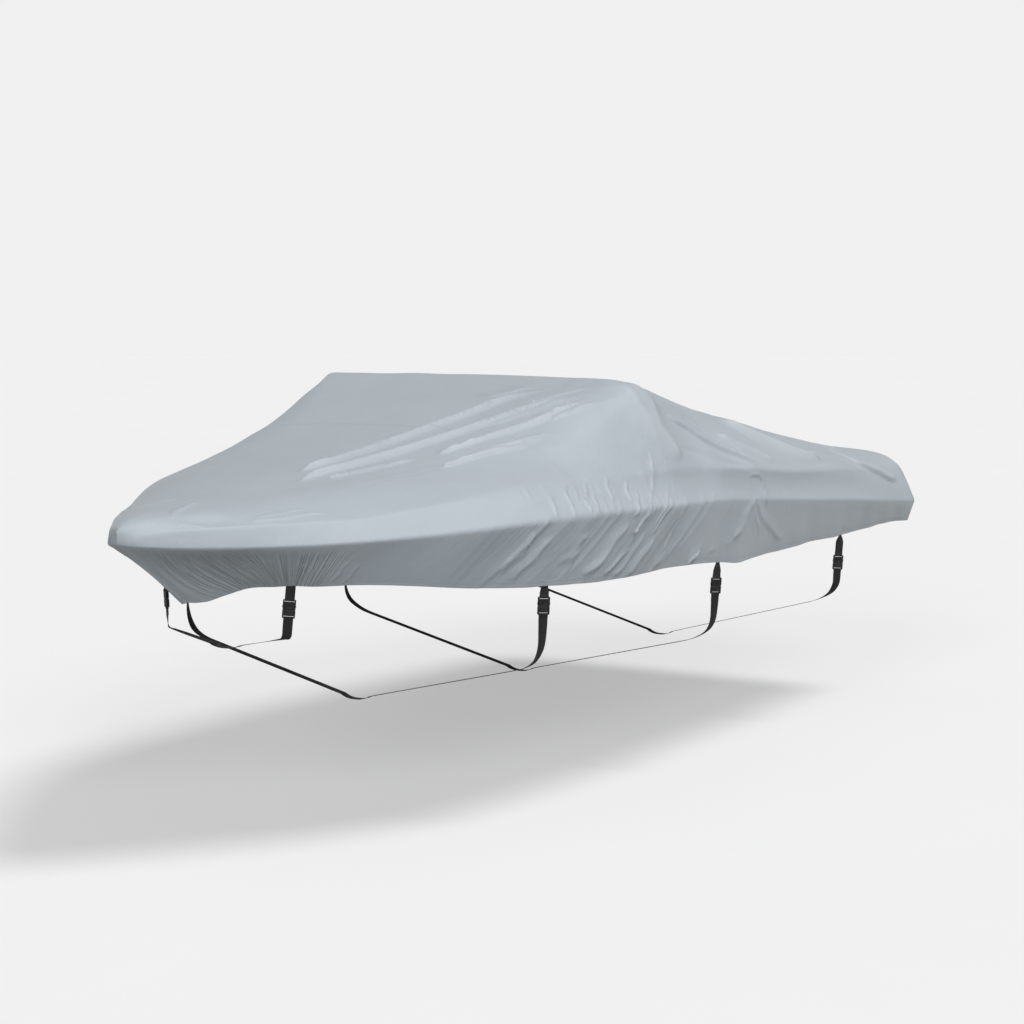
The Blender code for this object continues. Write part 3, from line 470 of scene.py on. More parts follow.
# %% [markdown]
# ## Folds
# Coated cloth does not drape in round waves.  It pinches into narrow ridges that run
# from one point of pull to another: from the windscreen's corner down the foredeck,
# from the side deck over the rail to the hem, and in small pleats where the hem is
# drawn in round the bow.  Each row of the tables is one such ridge, as its two ends,
# the bow of its line, how far its flanks reach to the left and to the right, and its
# height, all in metres.  A height below zero makes a groove.

# %% Fold tables
FOLD_COLUMNS = ("start", "start_side", "end", "end_side", "bow", "left", "right", "height")
# In plan: aft of the bow tip, and to starboard.
TOP_FOLDS = (
    (0.95, -0.108, 2.36, -0.500, 0.105, 0.017, 0.044, 0.0198),
    (0.83, -0.194, 2.28, -0.680, 0.095, 0.018, 0.048, 0.0216),
    (0.92, -0.274, 1.37, -0.420, -0.004, 0.013, 0.032, 0.0115),
    (1.42, -0.453, 2.23, -0.727, 0.006, 0.014, 0.035, 0.0166),
    (1.30, -0.554, 1.90, -0.717, 0.014, 0.016, 0.038, 0.0166),
    (1.45, -0.592, 1.77, -0.713, 0.005, 0.012, 0.029, 0.0082),
    (2.11, -0.268, 2.34, -0.355, -0.007, 0.009, 0.022, 0.0082),
    (2.04, -0.510, 2.36, -0.655, 0.006, 0.010, 0.026, 0.0100),
    (1.97, -0.675, 2.24, -0.756, 0.003, 0.010, 0.026, 0.0082),
    (1.81, -0.473, 2.22, -0.670, -0.003, 0.010, 0.026, 0.0066),
    (1.44, -0.058, 2.08, -0.306, -0.010, 0.008, 0.019, 0.0034),
)
# On the sides: along the rail from the bow tip, and up the cloth from it.
AFT_FOLDS = (
    (2.84, 0.640, 2.84, 0.180, 0.000, 0.100, 0.200, 0.0160),
    (2.98, 0.430, 3.57, 0.165, -0.008, 0.085, 0.019, 0.0210),
    (2.93, 0.266, 3.46, 0.146, -0.012, 0.030, 0.030, -0.0050),
    (3.74, 0.560, 4.50, 0.240, -0.060, 0.020, 0.120, 0.0330),
    (3.45, 0.385, 3.82, 0.200, -0.015, 0.020, 0.070, 0.0190),
    (3.25, 0.470, 3.75, 0.300, -0.020, 0.018, 0.050, 0.0090),
    (4.35, 0.460, 5.15, 0.360, 0.017, 0.018, 0.050, 0.0080),
    (4.84, 0.370, 4.96, 0.205, 0.000, 0.040, 0.028, 0.0080),
    (4.90, 0.226, 5.41, 0.112, -0.026, 0.080, 0.020, 0.0180),
)
SIDE_FOLDS = (
    (2.67, 0.270, 2.61, 0.130, 0.001, 0.013, 0.010, 0.0050),
    (2.62, 0.155, 2.49, 0.025, 0.007, 0.013, 0.010, 0.0048),
    (2.51, 0.045, 2.33, -0.115, 0.004, 0.015, 0.010, 0.0055),
    (2.69, 0.070, 2.50, -0.095, -0.013, 0.015, 0.010, 0.0048),
    (2.74, -0.011, 2.62, -0.209, 0.007, 0.028, 0.012, 0.0050),
    (2.34, -0.114, 2.46, 0.000, 0.005, 0.014, 0.012, 0.0066),
    (2.50, -0.126, 2.69, 0.040, 0.015, 0.014, 0.012, 0.0070),
    (1.82, -0.005, 1.87, 0.118, 0.012, 0.014, 0.012, 0.0064),
    (1.93, -0.007, 2.01, 0.169, 0.025, 0.015, 0.014, 0.0072),
    (2.00, 0.080, 2.05, 0.147, 0.004, 0.012, 0.011, 0.0048),
    (2.03, 0.006, 2.04, 0.082, 0.002, 0.014, 0.012, 0.0080),
    (2.06, 0.081, 2.15, 0.171, 0.003, 0.014, 0.012, 0.0056),
    (2.07, -0.001, 2.14, 0.106, 0.012, 0.014, 0.012, 0.0064),
    (2.21, 0.041, 2.30, 0.183, 0.008, 0.015, 0.014, 0.0064),
    (2.35, 0.039, 2.42, 0.149, 0.008, 0.015, 0.014, 0.0072),
    (2.31, -0.036, 2.45, 0.099, -0.010, 0.015, 0.014, 0.0060),
    (1.58, -0.216, 1.71, -0.032, -0.014, 0.048, 0.031, 0.0068),
    (1.65, -0.254, 1.81, -0.069, 0.003, 0.036, 0.023, 0.0054),
    (1.87, -0.208, 2.02, -0.068, -0.012, 0.048, 0.031, 0.0072),
    (1.90, -0.276, 1.99, -0.132, -0.007, 0.030, 0.019, 0.0048),
    (2.03, -0.273, 2.30, -0.034, -0.017, 0.048, 0.031, 0.0088),
    (2.17, -0.270, 2.35, -0.155, -0.005, 0.014, 0.012, 0.0072),
    (2.24, -0.290, 2.45, -0.092, -0.017, 0.036, 0.023, 0.0063),
    (2.35, -0.291, 2.53, -0.127, -0.011, 0.033, 0.021, 0.0059),
    (2.52, -0.285, 2.67, -0.195, -0.017, 0.030, 0.019, 0.0048),
    (2.86, -0.277, 2.97, -0.218, -0.000, 0.012, 0.011, 0.0088),
    (3.26, -0.205, 3.44, 0.017, -0.006, 0.048, 0.031, 0.0078),
    (3.03, -0.237, 3.28, -0.198, -0.004, 0.042, 0.026, 0.0042),
    (3.43, 0.104, 3.58, 0.001, 0.067, 0.014, 0.012, 0.0072),
    (3.53, 0.057, 3.58, -0.025, 0.000, 0.014, 0.012, 0.0064),
    (3.44, 0.008, 3.84, -0.188, -0.035, 0.050, 0.030, 0.0042),
    (3.45, -0.059, 3.56, -0.176, 0.004, 0.014, 0.012, 0.0040),
    (1.63, 0.078, 1.82, 0.092, -0.000, 0.015, 0.014, 0.0024),
    (0.26, 0.144, 0.57, 0.398, 0.010, 0.036, 0.013, 0.0060),
    (0.25, 0.105, 0.35, 0.081, 0.015, 0.030, 0.011, 0.0037),
    (0.53, 0.114, 0.90, 0.174, 0.006, 0.048, 0.018, 0.0037),
    (0.57, 0.137, 0.84, 0.209, 0.007, 0.030, 0.011, 0.0030),
    (0.21, -0.157, 0.30, -0.349, 0.005, 0.011, 0.011, 0.0035),
    (0.24, -0.109, 0.38, -0.327, 0.001, 0.011, 0.011, 0.0035),
    (0.27, -0.096, 0.46, -0.295, -0.006, 0.011, 0.011, 0.0035),
    (0.33, -0.095, 0.50, -0.289, -0.012, 0.011, 0.011, 0.0035),
    (0.40, -0.083, 0.54, -0.275, -0.010, 0.013, 0.013, 0.0040),
    (0.47, -0.077, 0.57, -0.273, -0.009, 0.013, 0.013, 0.0035),
    (0.56, -0.064, 0.62, -0.250, -0.001, 0.014, 0.014, 0.0030),
    (0.62, -0.055, 0.65, -0.239, 0.001, 0.014, 0.014, 0.0030),
    (0.73, -0.074, 0.71, -0.247, 0.001, 0.014, 0.014, 0.0030),
    (0.80, -0.087, 0.78, -0.238, 0.001, 0.013, 0.013, 0.0025),
    (0.90, -0.090, 0.85, -0.220, -0.002, 0.013, 0.013, 0.0040),
    (0.95, -0.109, 0.90, -0.224, 0.002, 0.011, 0.011, 0.0030),
)
STARBOARD_SHIFT = 0.075
STARBOARD_SHARE = 0.85
FOLD_FADES = (0.16, 0.16)            # of its length, at its start and its end
TOP_FADES = (0.06, 0.24)
FOLD_TAPER = 0.35                    # a fold reaches its full width this far from its ends
FOLD_END_WIDTH = 0.35                # share of its width at the ends
FOLD_ROUND = 0.12                    # its top is round over this share of its narrow flank
FOLD_WANDER = (0.25, 11.0, 5.0)      # share of that flank, waves along it, and their shift
SIDE_POWER = 1.5                     # how hollow the flanks are
LONG_POWER = 1.1
SHEET_ENDS = (0.04, 0.08)            # folds die away this far from the stem and the transom
# Which way the flap's creases lean: the place along the rail, and metres aft for each up.
SLANTS = ((0.00, 0.00), (0.10, -0.12), (0.20, -0.34), (0.30, -0.58), (0.40, -0.66),
          (0.50, -0.45), (0.58, -0.25), (0.65, -0.10), (0.73, 0.10), (0.85, 0.25),
          (0.95, 0.40), (1.30, 0.60), (1.60, 0.75), (1.85, 1.05), (2.60, 1.15),
          (3.10, 1.20), (3.30, 0.80), (4.00, 0.30), (5.60, 0.00))
# Fields of small creases: from, to and soft edge along; the same up; the pitch of the
# ridges, how far they run, their height, and the seed of their pattern.
FLAP_CREASES = (
    ((0.02, 0.95, 0.12), (-0.42, -0.05, 0.03), 0.034, 0.60, 0.0034, 11),
    ((0.10, 0.60, 0.12), (-0.42, -0.05, 0.03), 0.017, 0.60, 0.0018, 12),
    ((1.50, 2.85, 0.25), (-0.34, -0.02, 0.05), 0.075, 0.80, 0.0080, 13),
    ((1.60, 2.75, 0.25), (-0.34, 0.02, 0.06), 0.030, 0.50, 0.0012, 14),
    ((3.00, 4.10, 0.30), (-0.34, 0.00, 0.08), 0.090, 0.40, 0.0030, 15),
)
SIDE_CREASES = (
    ((1.80, 2.75, 0.15), (0.00, 0.17, 0.05), 0.042, 0.14, 0.0050, 21),
    ((1.85, 2.65, 0.15), (0.00, 0.14, 0.05), 0.020, 0.10, 0.0018, 22),
)
SIDE_LEAN = 0.45                     # metres aft for each metre up
AFT_CREASES = (
    ((2.90, 5.10, 0.35), (0.20, 0.60, 0.08), 0.085, 0.90, 0.0065, 31),
    ((3.00, 5.20, 0.35), (0.22, 0.60, 0.08), 0.040, 0.60, 0.0022, 32),
)
AFT_LEAN = 0.31                      # metres down for each metre aft
TOP_CREASES = (
    ((1.00, 2.36, 0.20), (-0.14, 0.26, 0.06), 0.070, 1.10, 0.0040, 41),
    ((1.05, 2.36, 0.20), (-0.14, 0.26, 0.06), 0.032, 0.80, 0.0014, 42),
)
TOP_LEAN = 0.33                      # metres to port for each metre aft
DIMPLES = (0.16, 0.0022, 51)         # size, height and seed of the soft unevenness
# Hollows where nothing holds the cloth up: along, up, their half lengths, and depth.
HOLLOWS = ((3.36, 0.42, 0.27, 0.12, 0.020), (0.40, 0.13, 0.10, 0.035, 0.007))
HEM_CALM = 0.65                      # share of the flap's creases that the hem takes out
FLAP_SWELL = 0.006
SIDE_SWELL = 0.005
TAB_CALM = 0.075                     # the cloth lies smooth this far along from a strap
CALM_TOP = 0.15                      # and this far down from the rail it begins to
CALM_EDGE = 0.025
STRAPS_AT = (0.677, 1.845, 3.173, 4.587)

print("folds:", len(TOP_FOLDS), "on top,", len(AFT_FOLDS) + len(SIDE_FOLDS), "on each side")

# %% [markdown]
# A ridge is sharp at its top, and its two flanks differ: the cloth lies over to one
# side, so one flank is short and steep and the other long and flat.  Between the large
# ridges the cloth is full of small ones that run the same way; a smooth random pattern,
# drawn out along the pull, gives them.  The heights are added along the sheet's outward
# direction, and they fade where a strap pulls the hem flat.

# %% Height of the folds
def fold_heights(table, first, second, power, fades=FOLD_FADES):
    """Sum of the ridges in a table."""
    total = np.zeros(first.shape)
    swing, waves, shift = FOLD_WANDER
    for row in table:
        fold = dict(zip(FOLD_COLUMNS, row))
        run = fold["end"] - fold["start"]
        rise = fold["end_side"] - fold["start_side"]
        length = math.hypot(run, rise)
        t = ((first - fold["start"]) * run + (second - fold["start_side"]) * rise) / length ** 2
        near = (t > 0) & (t < 1)
        t = t[near]
        off = (second[near] - fold["start_side"]) * run - (first[near] - fold["start"]) * rise
        off = off / length - fold["bow"] * 4 * t * (1 - t)
        narrow = min(fold["left"], fold["right"])
        off = off + swing * narrow * np.sin(waves * t + shift * fold["start"])
        fade = np.clip(np.minimum(t / fades[0], (1 - t) / fades[1]), 0, 1)
        fade = fade * fade * (3 - 2 * fade)
        taper = np.minimum(t, 1 - t) / min(0.5, FOLD_TAPER / length)
        width = FOLD_END_WIDTH + (1 - FOLD_END_WIDTH) * np.clip(taper, 0, 1)
        reach = np.where(off > 0, fold["left"], fold["right"]) * width
        top = FOLD_ROUND * narrow
        away = np.sqrt(off ** 2 + top ** 2) - top
        total[near] += fold["height"] * fade * np.clip(1 - away / reach, 0, 1) ** power
    return total


def lattice(x, y, seed):
    """A smooth random pattern from -1 to 1, one step of it to a unit."""
    values = np.random.default_rng(seed).uniform(-1.0, 1.0, (128, 128))
    column, row = np.floor(x).astype(int), np.floor(y).astype(int)
    u, v = x - column, y - row
    u, v = u * u * (3 - 2 * u), v * v * (3 - 2 * v)
    corner = [values[(column + a) % 128, (row + b) % 128] for b in (0, 1) for a in (0, 1)]
    near = corner[0] * (1 - u) + corner[1] * u
    far = corner[2] * (1 - u) + corner[3] * u
    return near * (1 - v) + far * v


def window(value, low, high, edge):
    """1 between two bounds, falling to 0 over a soft edge outside of them."""
    inside = np.clip(np.minimum(value - low, high - value) / edge + 1, 0, 1)
    return inside * inside * (3 - 2 * inside)


def creases(fields, along, up, across, running):
    """Small sharp ridges: one apart from the next by a pitch, and drawn out along the pull."""
    total = np.zeros(across.shape)
    for along_span, up_span, pitch, length, height, seed in fields:
        share = window(along, *along_span) * window(up, *up_span)
        near = share > 0
        x, y = across[near] / pitch, running[near] / length
        x = x + 0.3 * lattice(x / 2.7, y * 1.3, seed + 100)
        ridge = (1 - np.abs(lattice(x, y, seed))) ** 2.5
        patch = 0.55 + 0.45 * lattice(x / 4.0, y * 0.7, seed + 200)
        total[near] += height * share[near] * patch * (ridge - 0.3)
    return total


def flap_foot(along, up):
    """Where on the rail the crease that passes a point of the flap starts."""
    places, slants = zip(*SLANTS)
    foot = along
    for _ in range(5):
        foot = along - np.interp(foot, places, slants) * up
    return foot


def crease_heights(along, up, down):
    """All fields of small creases, each in its own direction."""
    foot = flap_foot(along, up)
    edge = 1 - HEM_CALM * down ** 6
    total = creases(FLAP_CREASES, foot, up, foot, up) * edge
    total = total + creases(SIDE_CREASES, along, up, along - SIDE_LEAN * up, up)
    fall = up + AFT_LEAN * along
    total = total + creases(AFT_CREASES, along, up, fall, along)
    return total


def slack_heights(along, up, down, side):
    """Long, low swells of loose cloth; their lengths differ, so that none repeats."""
    swell = np.sin(8.1 * along + 0.9 * side) * np.sin(3.7 * along + 1.3)
    small = 0.35 * np.sin(21.0 * along + 9.0 * up) * np.sin(5.0 * along + 0.7)
    sides = np.exp(-((up - 0.30) / 0.14) ** 2) * np.sin(5.3 * along + 4.0 * up + side)
    aft_side = np.clip((along - 1.2) / 0.8, 0, 1)
    return FLAP_SWELL * down * (swell + small * aft_side) + SIDE_SWELL * sides * aft_side


def strap_calm(along, up):
    """1 on free cloth, falling to 0 where a strap holds the hem."""
    calm = np.ones(along.shape)
    for strap_along in STRAPS_AT:
        near = np.exp(-((along - strap_along) / TAB_CALM) ** 2)
        low = 1 / (1 + np.exp(np.clip((up + CALM_TOP) / CALM_EDGE, -40, 40)))
        calm = calm * (1 - near * low)
    return calm


def sheet_normals(grid):
    """Outward direction at each point of a grid of points."""
    normal = np.cross(np.gradient(grid, axis=0), np.gradient(grid, axis=1))
    size = np.linalg.norm(normal, axis=2, keepdims=True)
    return normal / np.maximum(size, 1e-9)


def folded_sheet(along):
    """The sheet with its folds, their heights, and the cloth's own coordinates."""
    grid = smooth_sheet(along)
    steps = np.linalg.norm(np.diff(grid, axis=1), axis=2)
    girth = np.concatenate((np.zeros((len(along), 1)), np.cumsum(steps, axis=1)), axis=1)
    crown = girth - girth[:, HALF_STEPS:HALF_STEPS + 1]
    port_up = girth - girth[:, FLAP_STEPS:FLAP_STEPS + 1]
    far_rail = grid.shape[1] - 1 - FLAP_STEPS
    starboard_up = girth[:, far_rail:far_rail + 1] - girth
    on_port = np.arange(grid.shape[1])[None, :] <= HALF_STEPS
    up = np.where(on_port, port_up, starboard_up)
    down = np.clip(np.where(on_port, up / port_up[:, :1], up / starboard_up[:, -1:]), 0, 1)
    side = np.where(on_port, -1.0, 1.0)
    aft = grid[:, :, 0] + WINDSCREEN_AFT
    across = grid[:, :, 1]
    reach = np.broadcast_to(along[:, None], up.shape)
    shift = np.where(on_port, 0.0, STARBOARD_SHIFT)
    share = np.where(on_port, 1.0, STARBOARD_SHARE)
    height = fold_heights(SIDE_FOLDS, reach - shift, up, SIDE_POWER)
    height = share * (height + fold_heights(AFT_FOLDS, reach - shift, up, LONG_POWER))
    height = height + fold_heights(TOP_FOLDS, aft, across, LONG_POWER, TOP_FADES)
    height = height + crease_heights(reach + shift / 3, up, down)
    lean = across + TOP_LEAN * aft
    height = height + creases(TOP_CREASES, aft, lean, lean, aft)
    size, rough, seed = DIMPLES
    height = height + rough * lattice(reach / size, crown / size, seed)
    height = height + slack_heights(reach, up, down, side)
    for at, above, long, wide, deep in HOLLOWS:
        spread = ((reach - shift - at) / long) ** 2 + ((up - above) / wide) ** 2
        height = height - deep * share * np.exp(-spread)
    stem, transom = SHEET_ENDS
    ends = np.clip(along / stem, 0, 1) * np.clip((along[-1] - along) / transom, 0, 1)
    height = height * strap_calm(reach, up) * (ends * ends * (3 - 2 * ends))[:, None]
    foot = np.where(up < 0, flap_foot(reach, up), reach - SIDE_LEAN * up)
    return grid + sheet_normals(grid) * height[:, :, None], height, crown, foot, up


print("cells of the sheet:", ROWS * 2 * HALF_STEPS)

# %% [markdown]
# ## Finish of the cloth
# Boat cover cloth is polyester woven from thick yarn and coated on the inside.  From
# afar it is an even grey with a soft sheen.  Close up there is the basket of the weave,
# fine crazing from folding, and dust near the hem.  The colour is painted paler on the
# fold ridges, partly as wear and partly as a painted highlight, and darker in the pinched
# lines of the bow, as painted shade.  The pattern follows the cloth's own flat measure,
# which the UV layer `cut` holds in metres.  The layer `trim` holds the height of the
# folds and the distance to the hem.
# The layer `pull` holds where on the rail the pull through a point starts, and how far
# up from the rail the point lies; the finest pinches follow it.

# %% Cloth finish
YARN = 0.0011
SEAM_AFT = 1.74                      # the seam across the foredeck
SEAM_HALF = 0.007
HEM_DEEP = 0.026
HEM_BEAD = 0.004                     # the cord's roll lies this far above the hem's edge
DUST_TOP = 0.10                      # dust lies up to this far above it
CLOTH_DARK = (0.303, 0.342, 0.372)
CLOTH_LIGHT = (0.370, 0.414, 0.448)
# the colour painted on the fold ridges: partly wear, partly a painted highlight
CLOTH_RIDGE_WEAR_AND_HIGHLIGHT = (0.485, 0.522, 0.550)
# From and to along the rail, from and to up from it, pitch and length of the lines.
BOW_PINCHES = (0.04, 0.95, -0.42, -0.03, 0.026, 0.90)
FLAP_PINCHES = (1.50, 2.95, -0.30, 0.02, 0.060, 0.40)


def seam_along():
    """Distance along the rail where the seam crosses the cloth."""
    rail = np.array(SECTIONS)[:, 0]
    return float(np.interp(SEAM_AFT, rail, rail_lengths()))


def weave(u, v, pitch):
    """Height, from 0 to 1, of a plain weave of round yarns."""
    warp, weft = u * (math.pi / pitch), v * (math.pi / pitch)
    over = (warp.cosine() * weft.cosine() * 4.0 + 0.5).clamp()
    return abs(warp.sine()) * over + abs(weft.sine()) * (1 - over)


def band(distance, half, edge):
    """1 within a half width of a line, falling to 0 over a soft edge."""
    return ((half - abs(distance)) / edge + 0.5).clamp()


def pinches(cloth, foot, up, spans):
    """Fine lines pinched into the cloth along its pull, from 0 to 1."""
    from_foot, to_foot, from_up, to_up, pitch, length = spans
    wander = cloth.noise(cloth.vector(foot / pitch, up / length), 1.0, 2.0, 0.45)
    line = (1 - abs(wander - 0.5) * 9.0).clamp()
    inside = ((foot - from_foot) / 0.10).clamp() * ((to_foot - foot) / 0.15).clamp()
    return line * inside * ((up - from_up) / 0.04).clamp() * ((to_up - up) / 0.04).clamp()


def cloth_finish(name, dark, light, inner):
    """The cloth's face, or its coated back."""
    cloth = Finish(name, 0.52, Sheen_Weight=0.22, Sheen_Roughness=0.45, Specular_IOR_Level=0.38)
    u, v = cloth.place("cut")
    relief, hem = cloth.place("trim")
    foot, up = cloth.place("pull")
    bow_lines = pinches(cloth, foot, up, BOW_PINCHES)
    flap_lines = pinches(cloth, foot, up, FLAP_PINCHES)
    cut = cloth.vector(u, v)
    broad = cloth.noise(cut, 1.6, 4.0, 0.6)
    blotch = cloth.noise(cut, 9.0, 5.0, 0.65)
    streak = cloth.noise(cloth.vector(u * 2.2, v * 26.0), 1.0, 4.0, 0.6)
    crazing = cloth.node("ShaderNodeTexVoronoi", {"feature": "DISTANCE_TO_EDGE"}, {
        "Vector": cloth.vector(u + blotch * 0.06, v + broad * 0.10), "Scale": 7.0})
    tone = (broad * 0.55 + blotch * 0.30 + streak * 0.25 - 0.05).clamp()
    # Paler on the fold ridges, by their height: partly rubbed wear, partly a painted highlight where
    # the ridges catch the light.
    ridge_wear_and_highlight = (relief * 40.0 - 0.15 + (blotch - 0.5) * 0.35).clamp() * 0.42
    ground = cloth.blend(tone, dark, light)
    face = cloth.blend(ridge_wear_and_highlight, ground, CLOTH_RIDGE_WEAR_AND_HIGHLIGHT)
    hem_line = band(hem - HEM_DEEP, 0.0012, 0.0015)
    dirt = ((DUST_TOP - hem) * 9.0 + (blotch - 0.55) * 1.2).clamp() * 0.16
    # Darker along the hem's fold line and with dust near the hem; the bow's pinched lines are painted
    # darker, as painted shade in the creases.
    shade = (hem_line * 0.35 + dirt + bow_lines * 0.08).clamp()
    cloth.feed("Base Color", cloth.blend(shade, face, tuple(0.62 * c for c in dark)))
    cloth.feed("Roughness", 0.46 + tone * 0.10 - ridge_wear_and_highlight * 0.10 + (0.08 if inner else 0.0))
    grain = weave(u, v, YARN) * 0.00012
    crease = (1 - (crazing * 14.0).clamp()) * 0.00022
    crumple = cloth.noise(cut, 17.0, 5.0, 0.62) * 0.0022
    pull = cloth.noise(cloth.vector(u * 3.0, v * 34.0), 1.0, 3.0, 0.5) * 0.0011
    seam_height = 0.0003 + ((v + 0.45) * 4.0).clamp() * 0.0010
    seam = band(u - seam_along(), SEAM_HALF, 0.0016) * seam_height
    pinch = bow_lines * 0.0055 + flap_lines * 0.0006
    fold = band(hem, HEM_DEEP, 0.0016) * 0.0014
    bead = band(hem - HEM_BEAD, 0.0045, 0.003) * 0.0016
    cloth.emboss(grain + crease + crumple + pull + seam + fold + bead - pinch, 0.85)
    return cloth.material


CLOTH_FACE = cloth_finish("cloth_face", CLOTH_DARK, CLOTH_LIGHT, False)
CLOTH_BACK = cloth_finish("cloth_back", (0.27, 0.29, 0.31), (0.33, 0.35, 0.37), True)
print("cloth face and back, yarn", YARN * 1000, "mm")

# %% [markdown]
# ## Making the cover
# The sheet starts as one fine grid, port hem over the crown to starboard hem, with a
# tongue that hangs down the transom.  Its edges are joined where the cover is sewn: at
# the stem and at both stern corners.  A Decimate modifier then leaves most of its faces
# on the folds, and Solidify gives the cloth its thickness inwards.

# %% The cover
TRANSOM_BULGE = 0.055
TRANSOM_ROUND = 0.30                 # share of the fall over which the cloth turns down
COVER_TRIANGLES = 97000
COVER_SHARP = math.radians(75)


def transom_rows(last_row):
    """Rows of points that go on from the last station, down the transom, a little wavy."""
    first, last = FLAP_STEPS, len(last_row) - 1 - FLAP_STEPS
    corner, hem = last_row[first], last_row[0]
    rows = []
    for step in range(1, FLAP_STEPS + 1):
        flap = last_row[first - step]
        fall = (corner[2] - flap[2]) / (corner[2] - hem[2])
        turn = min(fall / TRANSOM_ROUND, 1.0)
        row = last_row.copy()
        top = last_row[first:last + 1]
        width = np.abs(top[:, 1] / corner[1])
        swell = 1 - width ** 6
        bulge = TRANSOM_BULGE * math.sqrt(1 - (1 - turn) ** 2) * swell
        wave = 0.006 * fall * np.sin(9.0 * top[:, 1] + 0.7) * swell
        wave = wave + 0.003 * np.sin(23.0 * top[:, 1] + 3.0 * fall) * fall * swell
        row[first:last + 1, 0] = top[:, 0] + (flap[0] - corner[0]) + bulge + wave
        row[first:last + 1, 1] = top[:, 1] * (flap[1] / corner[1])
        row[first:last + 1, 2] = top[:, 2] + (hem[2] - top[:, 2]) * fall
        rows.append(row)
    return np.array(rows)


def cover_points():
    """Points of the whole sheet, and what its three UV layers hold."""
    along = row_places()
    grid, height, crown, foot, up = folded_sheet(along)
    tail = transom_rows(grid[-1])
    drop = (np.arange(1, FLAP_STEPS + 1) / FLAP_STEPS)[:, None]
    tail_deep = np.linalg.norm(tail[-1] - grid[-1], axis=1)[None, :]
    points = np.concatenate((grid, tail))
    u = np.concatenate((np.repeat(along[:, None], crown.shape[1], axis=1),
                        RAIL_LENGTH + drop * tail_deep))
    v = np.concatenate((crown, np.repeat(crown[-1:], FLAP_STEPS, axis=0)))
    relief = np.concatenate((height, np.zeros(tail.shape[:2])))
    hem_port = crown - crown[:, :1]
    hem_starboard = crown[:, -1:] - crown
    hem = np.concatenate((np.minimum(hem_port, hem_starboard), (1 - drop) * tail_deep))
    foot = np.concatenate((foot, np.repeat(foot[-1:], FLAP_STEPS, axis=0)))
    up = np.concatenate((up, np.repeat(up[-1:], FLAP_STEPS, axis=0)))
    return points, {"cut": (u, v), "trim": (relief, hem), "pull": (foot, up)}


def build_cover():
    """The cover's mesh: grid, sewn edges, thinned out, then given its thickness."""
    points, layers = cover_points()
    rows, columns = points.shape[:2]
    index = np.arange(rows * columns).reshape(rows, columns)
    quads = np.stack((index[:-1, :-1], index[1:, :-1], index[1:, 1:], index[:-1, 1:]), axis=2)
    keep = np.ones(quads.shape[:2], dtype=bool)
    keep[ROWS:, :FLAP_STEPS] = False
    keep[ROWS:, columns - 1 - FLAP_STEPS:] = False
    quads = quads[keep]
    mesh = bpy.data.meshes.new("cover_cloth_sheet")
    mesh.from_pydata(points.reshape(-1, 3), [], quads)
    corner = np.empty(len(mesh.loops), dtype=np.int32)
    mesh.loops.foreach_get("vertex_index", corner)
    for name, (first, second) in layers.items():
        layer = mesh.uv_layers.new(name=name)
        pairs = np.stack((first.ravel()[corner], second.ravel()[corner]), axis=1)
        layer.uv.foreach_set("vector", pairs.ravel().astype(np.float32))
    shape = bmesh.new()
    shape.from_mesh(mesh)
    bmesh.ops.delete(shape, geom=[p for p in shape.verts if not p.link_faces], context="VERTS")
    edge = [p for p in shape.verts if p.is_boundary]
    bmesh.ops.remove_doubles(shape, verts=edge, dist=1e-5)
    bmesh.ops.dissolve_degenerate(shape, edges=[e for e in shape.edges if e.is_boundary], dist=1e-6)
    bmesh.ops.triangulate(shape, faces=shape.faces)
    count = len(shape.faces)
    shape.to_mesh(mesh)
    shape.free()
    mesh.materials.append(CLOTH_FACE)
    mesh.materials.append(CLOTH_BACK)
    item = link(bpy.data.objects.new("cover_sheet", mesh))
    thin = item.modifiers.new("thin_out", "DECIMATE")
    thin.ratio = COVER_TRIANGLES / count
    shell = item.modifiers.new("cloth", "SOLIDIFY")
    shell.thickness = CLOTH
    shell.offset = -1.0
    shell.material_offset = 1
    return item


def settle(item, name):
    """Turn an object with its modifiers into a plain, smooth mesh of its own."""
    graph = bpy.context.evaluated_depsgraph_get()
    mesh = bpy.data.meshes.new_from_object(item.evaluated_get(graph))
    mesh.name = name
    bpy.data.objects.remove(item)
    mesh.shade_smooth()
    return link(bpy.data.objects.new(name, mesh))


cover = settle(build_cover(), "cloth_cover")
cover.data.set_sharp_from_angle(angle=COVER_SHARP)
print("cover:", len(cover.data.polygons), "faces")

# %% [markdown]
# ## Stitches
# Every edge of the cover is lock-stitched in bonded polyester thread.  A stitch is a
# tiny sausage of thread, repeated a few thousand times, so a Geometry Nodes tree lays
# them: it walks along a guide line, finds the nearest point of the cloth, and sets one
# stitch there along the line.  The guide lines are read off the same sheet.

# %% The stitch tree
STITCH_PITCH = 0.0070
STITCH_LENGTH = 0.0052
THREAD = 0.0011
THREAD_LIFT = 0.00025                # a stitch's middle stands this far off the cloth


def thread_finish():
    """Bonded grey thread with a fine twist."""
    thread = Finish("bonded_thread", 0.48, Sheen_Weight=0.15)
    where = thread.object_place()
    wave = thread.node("ShaderNodeTexWave", {"bands_direction": "DIAGONAL"}, {
        "Vector": where, "Scale": 900.0, "Distortion": 2.0})
    tone = thread.noise(where, 40.0)
    thread.feed("Base Color", thread.blend(tone, (0.30, 0.33, 0.35), (0.44, 0.47, 0.49)))
    thread.emboss(wave * 0.00006)
    return thread.material


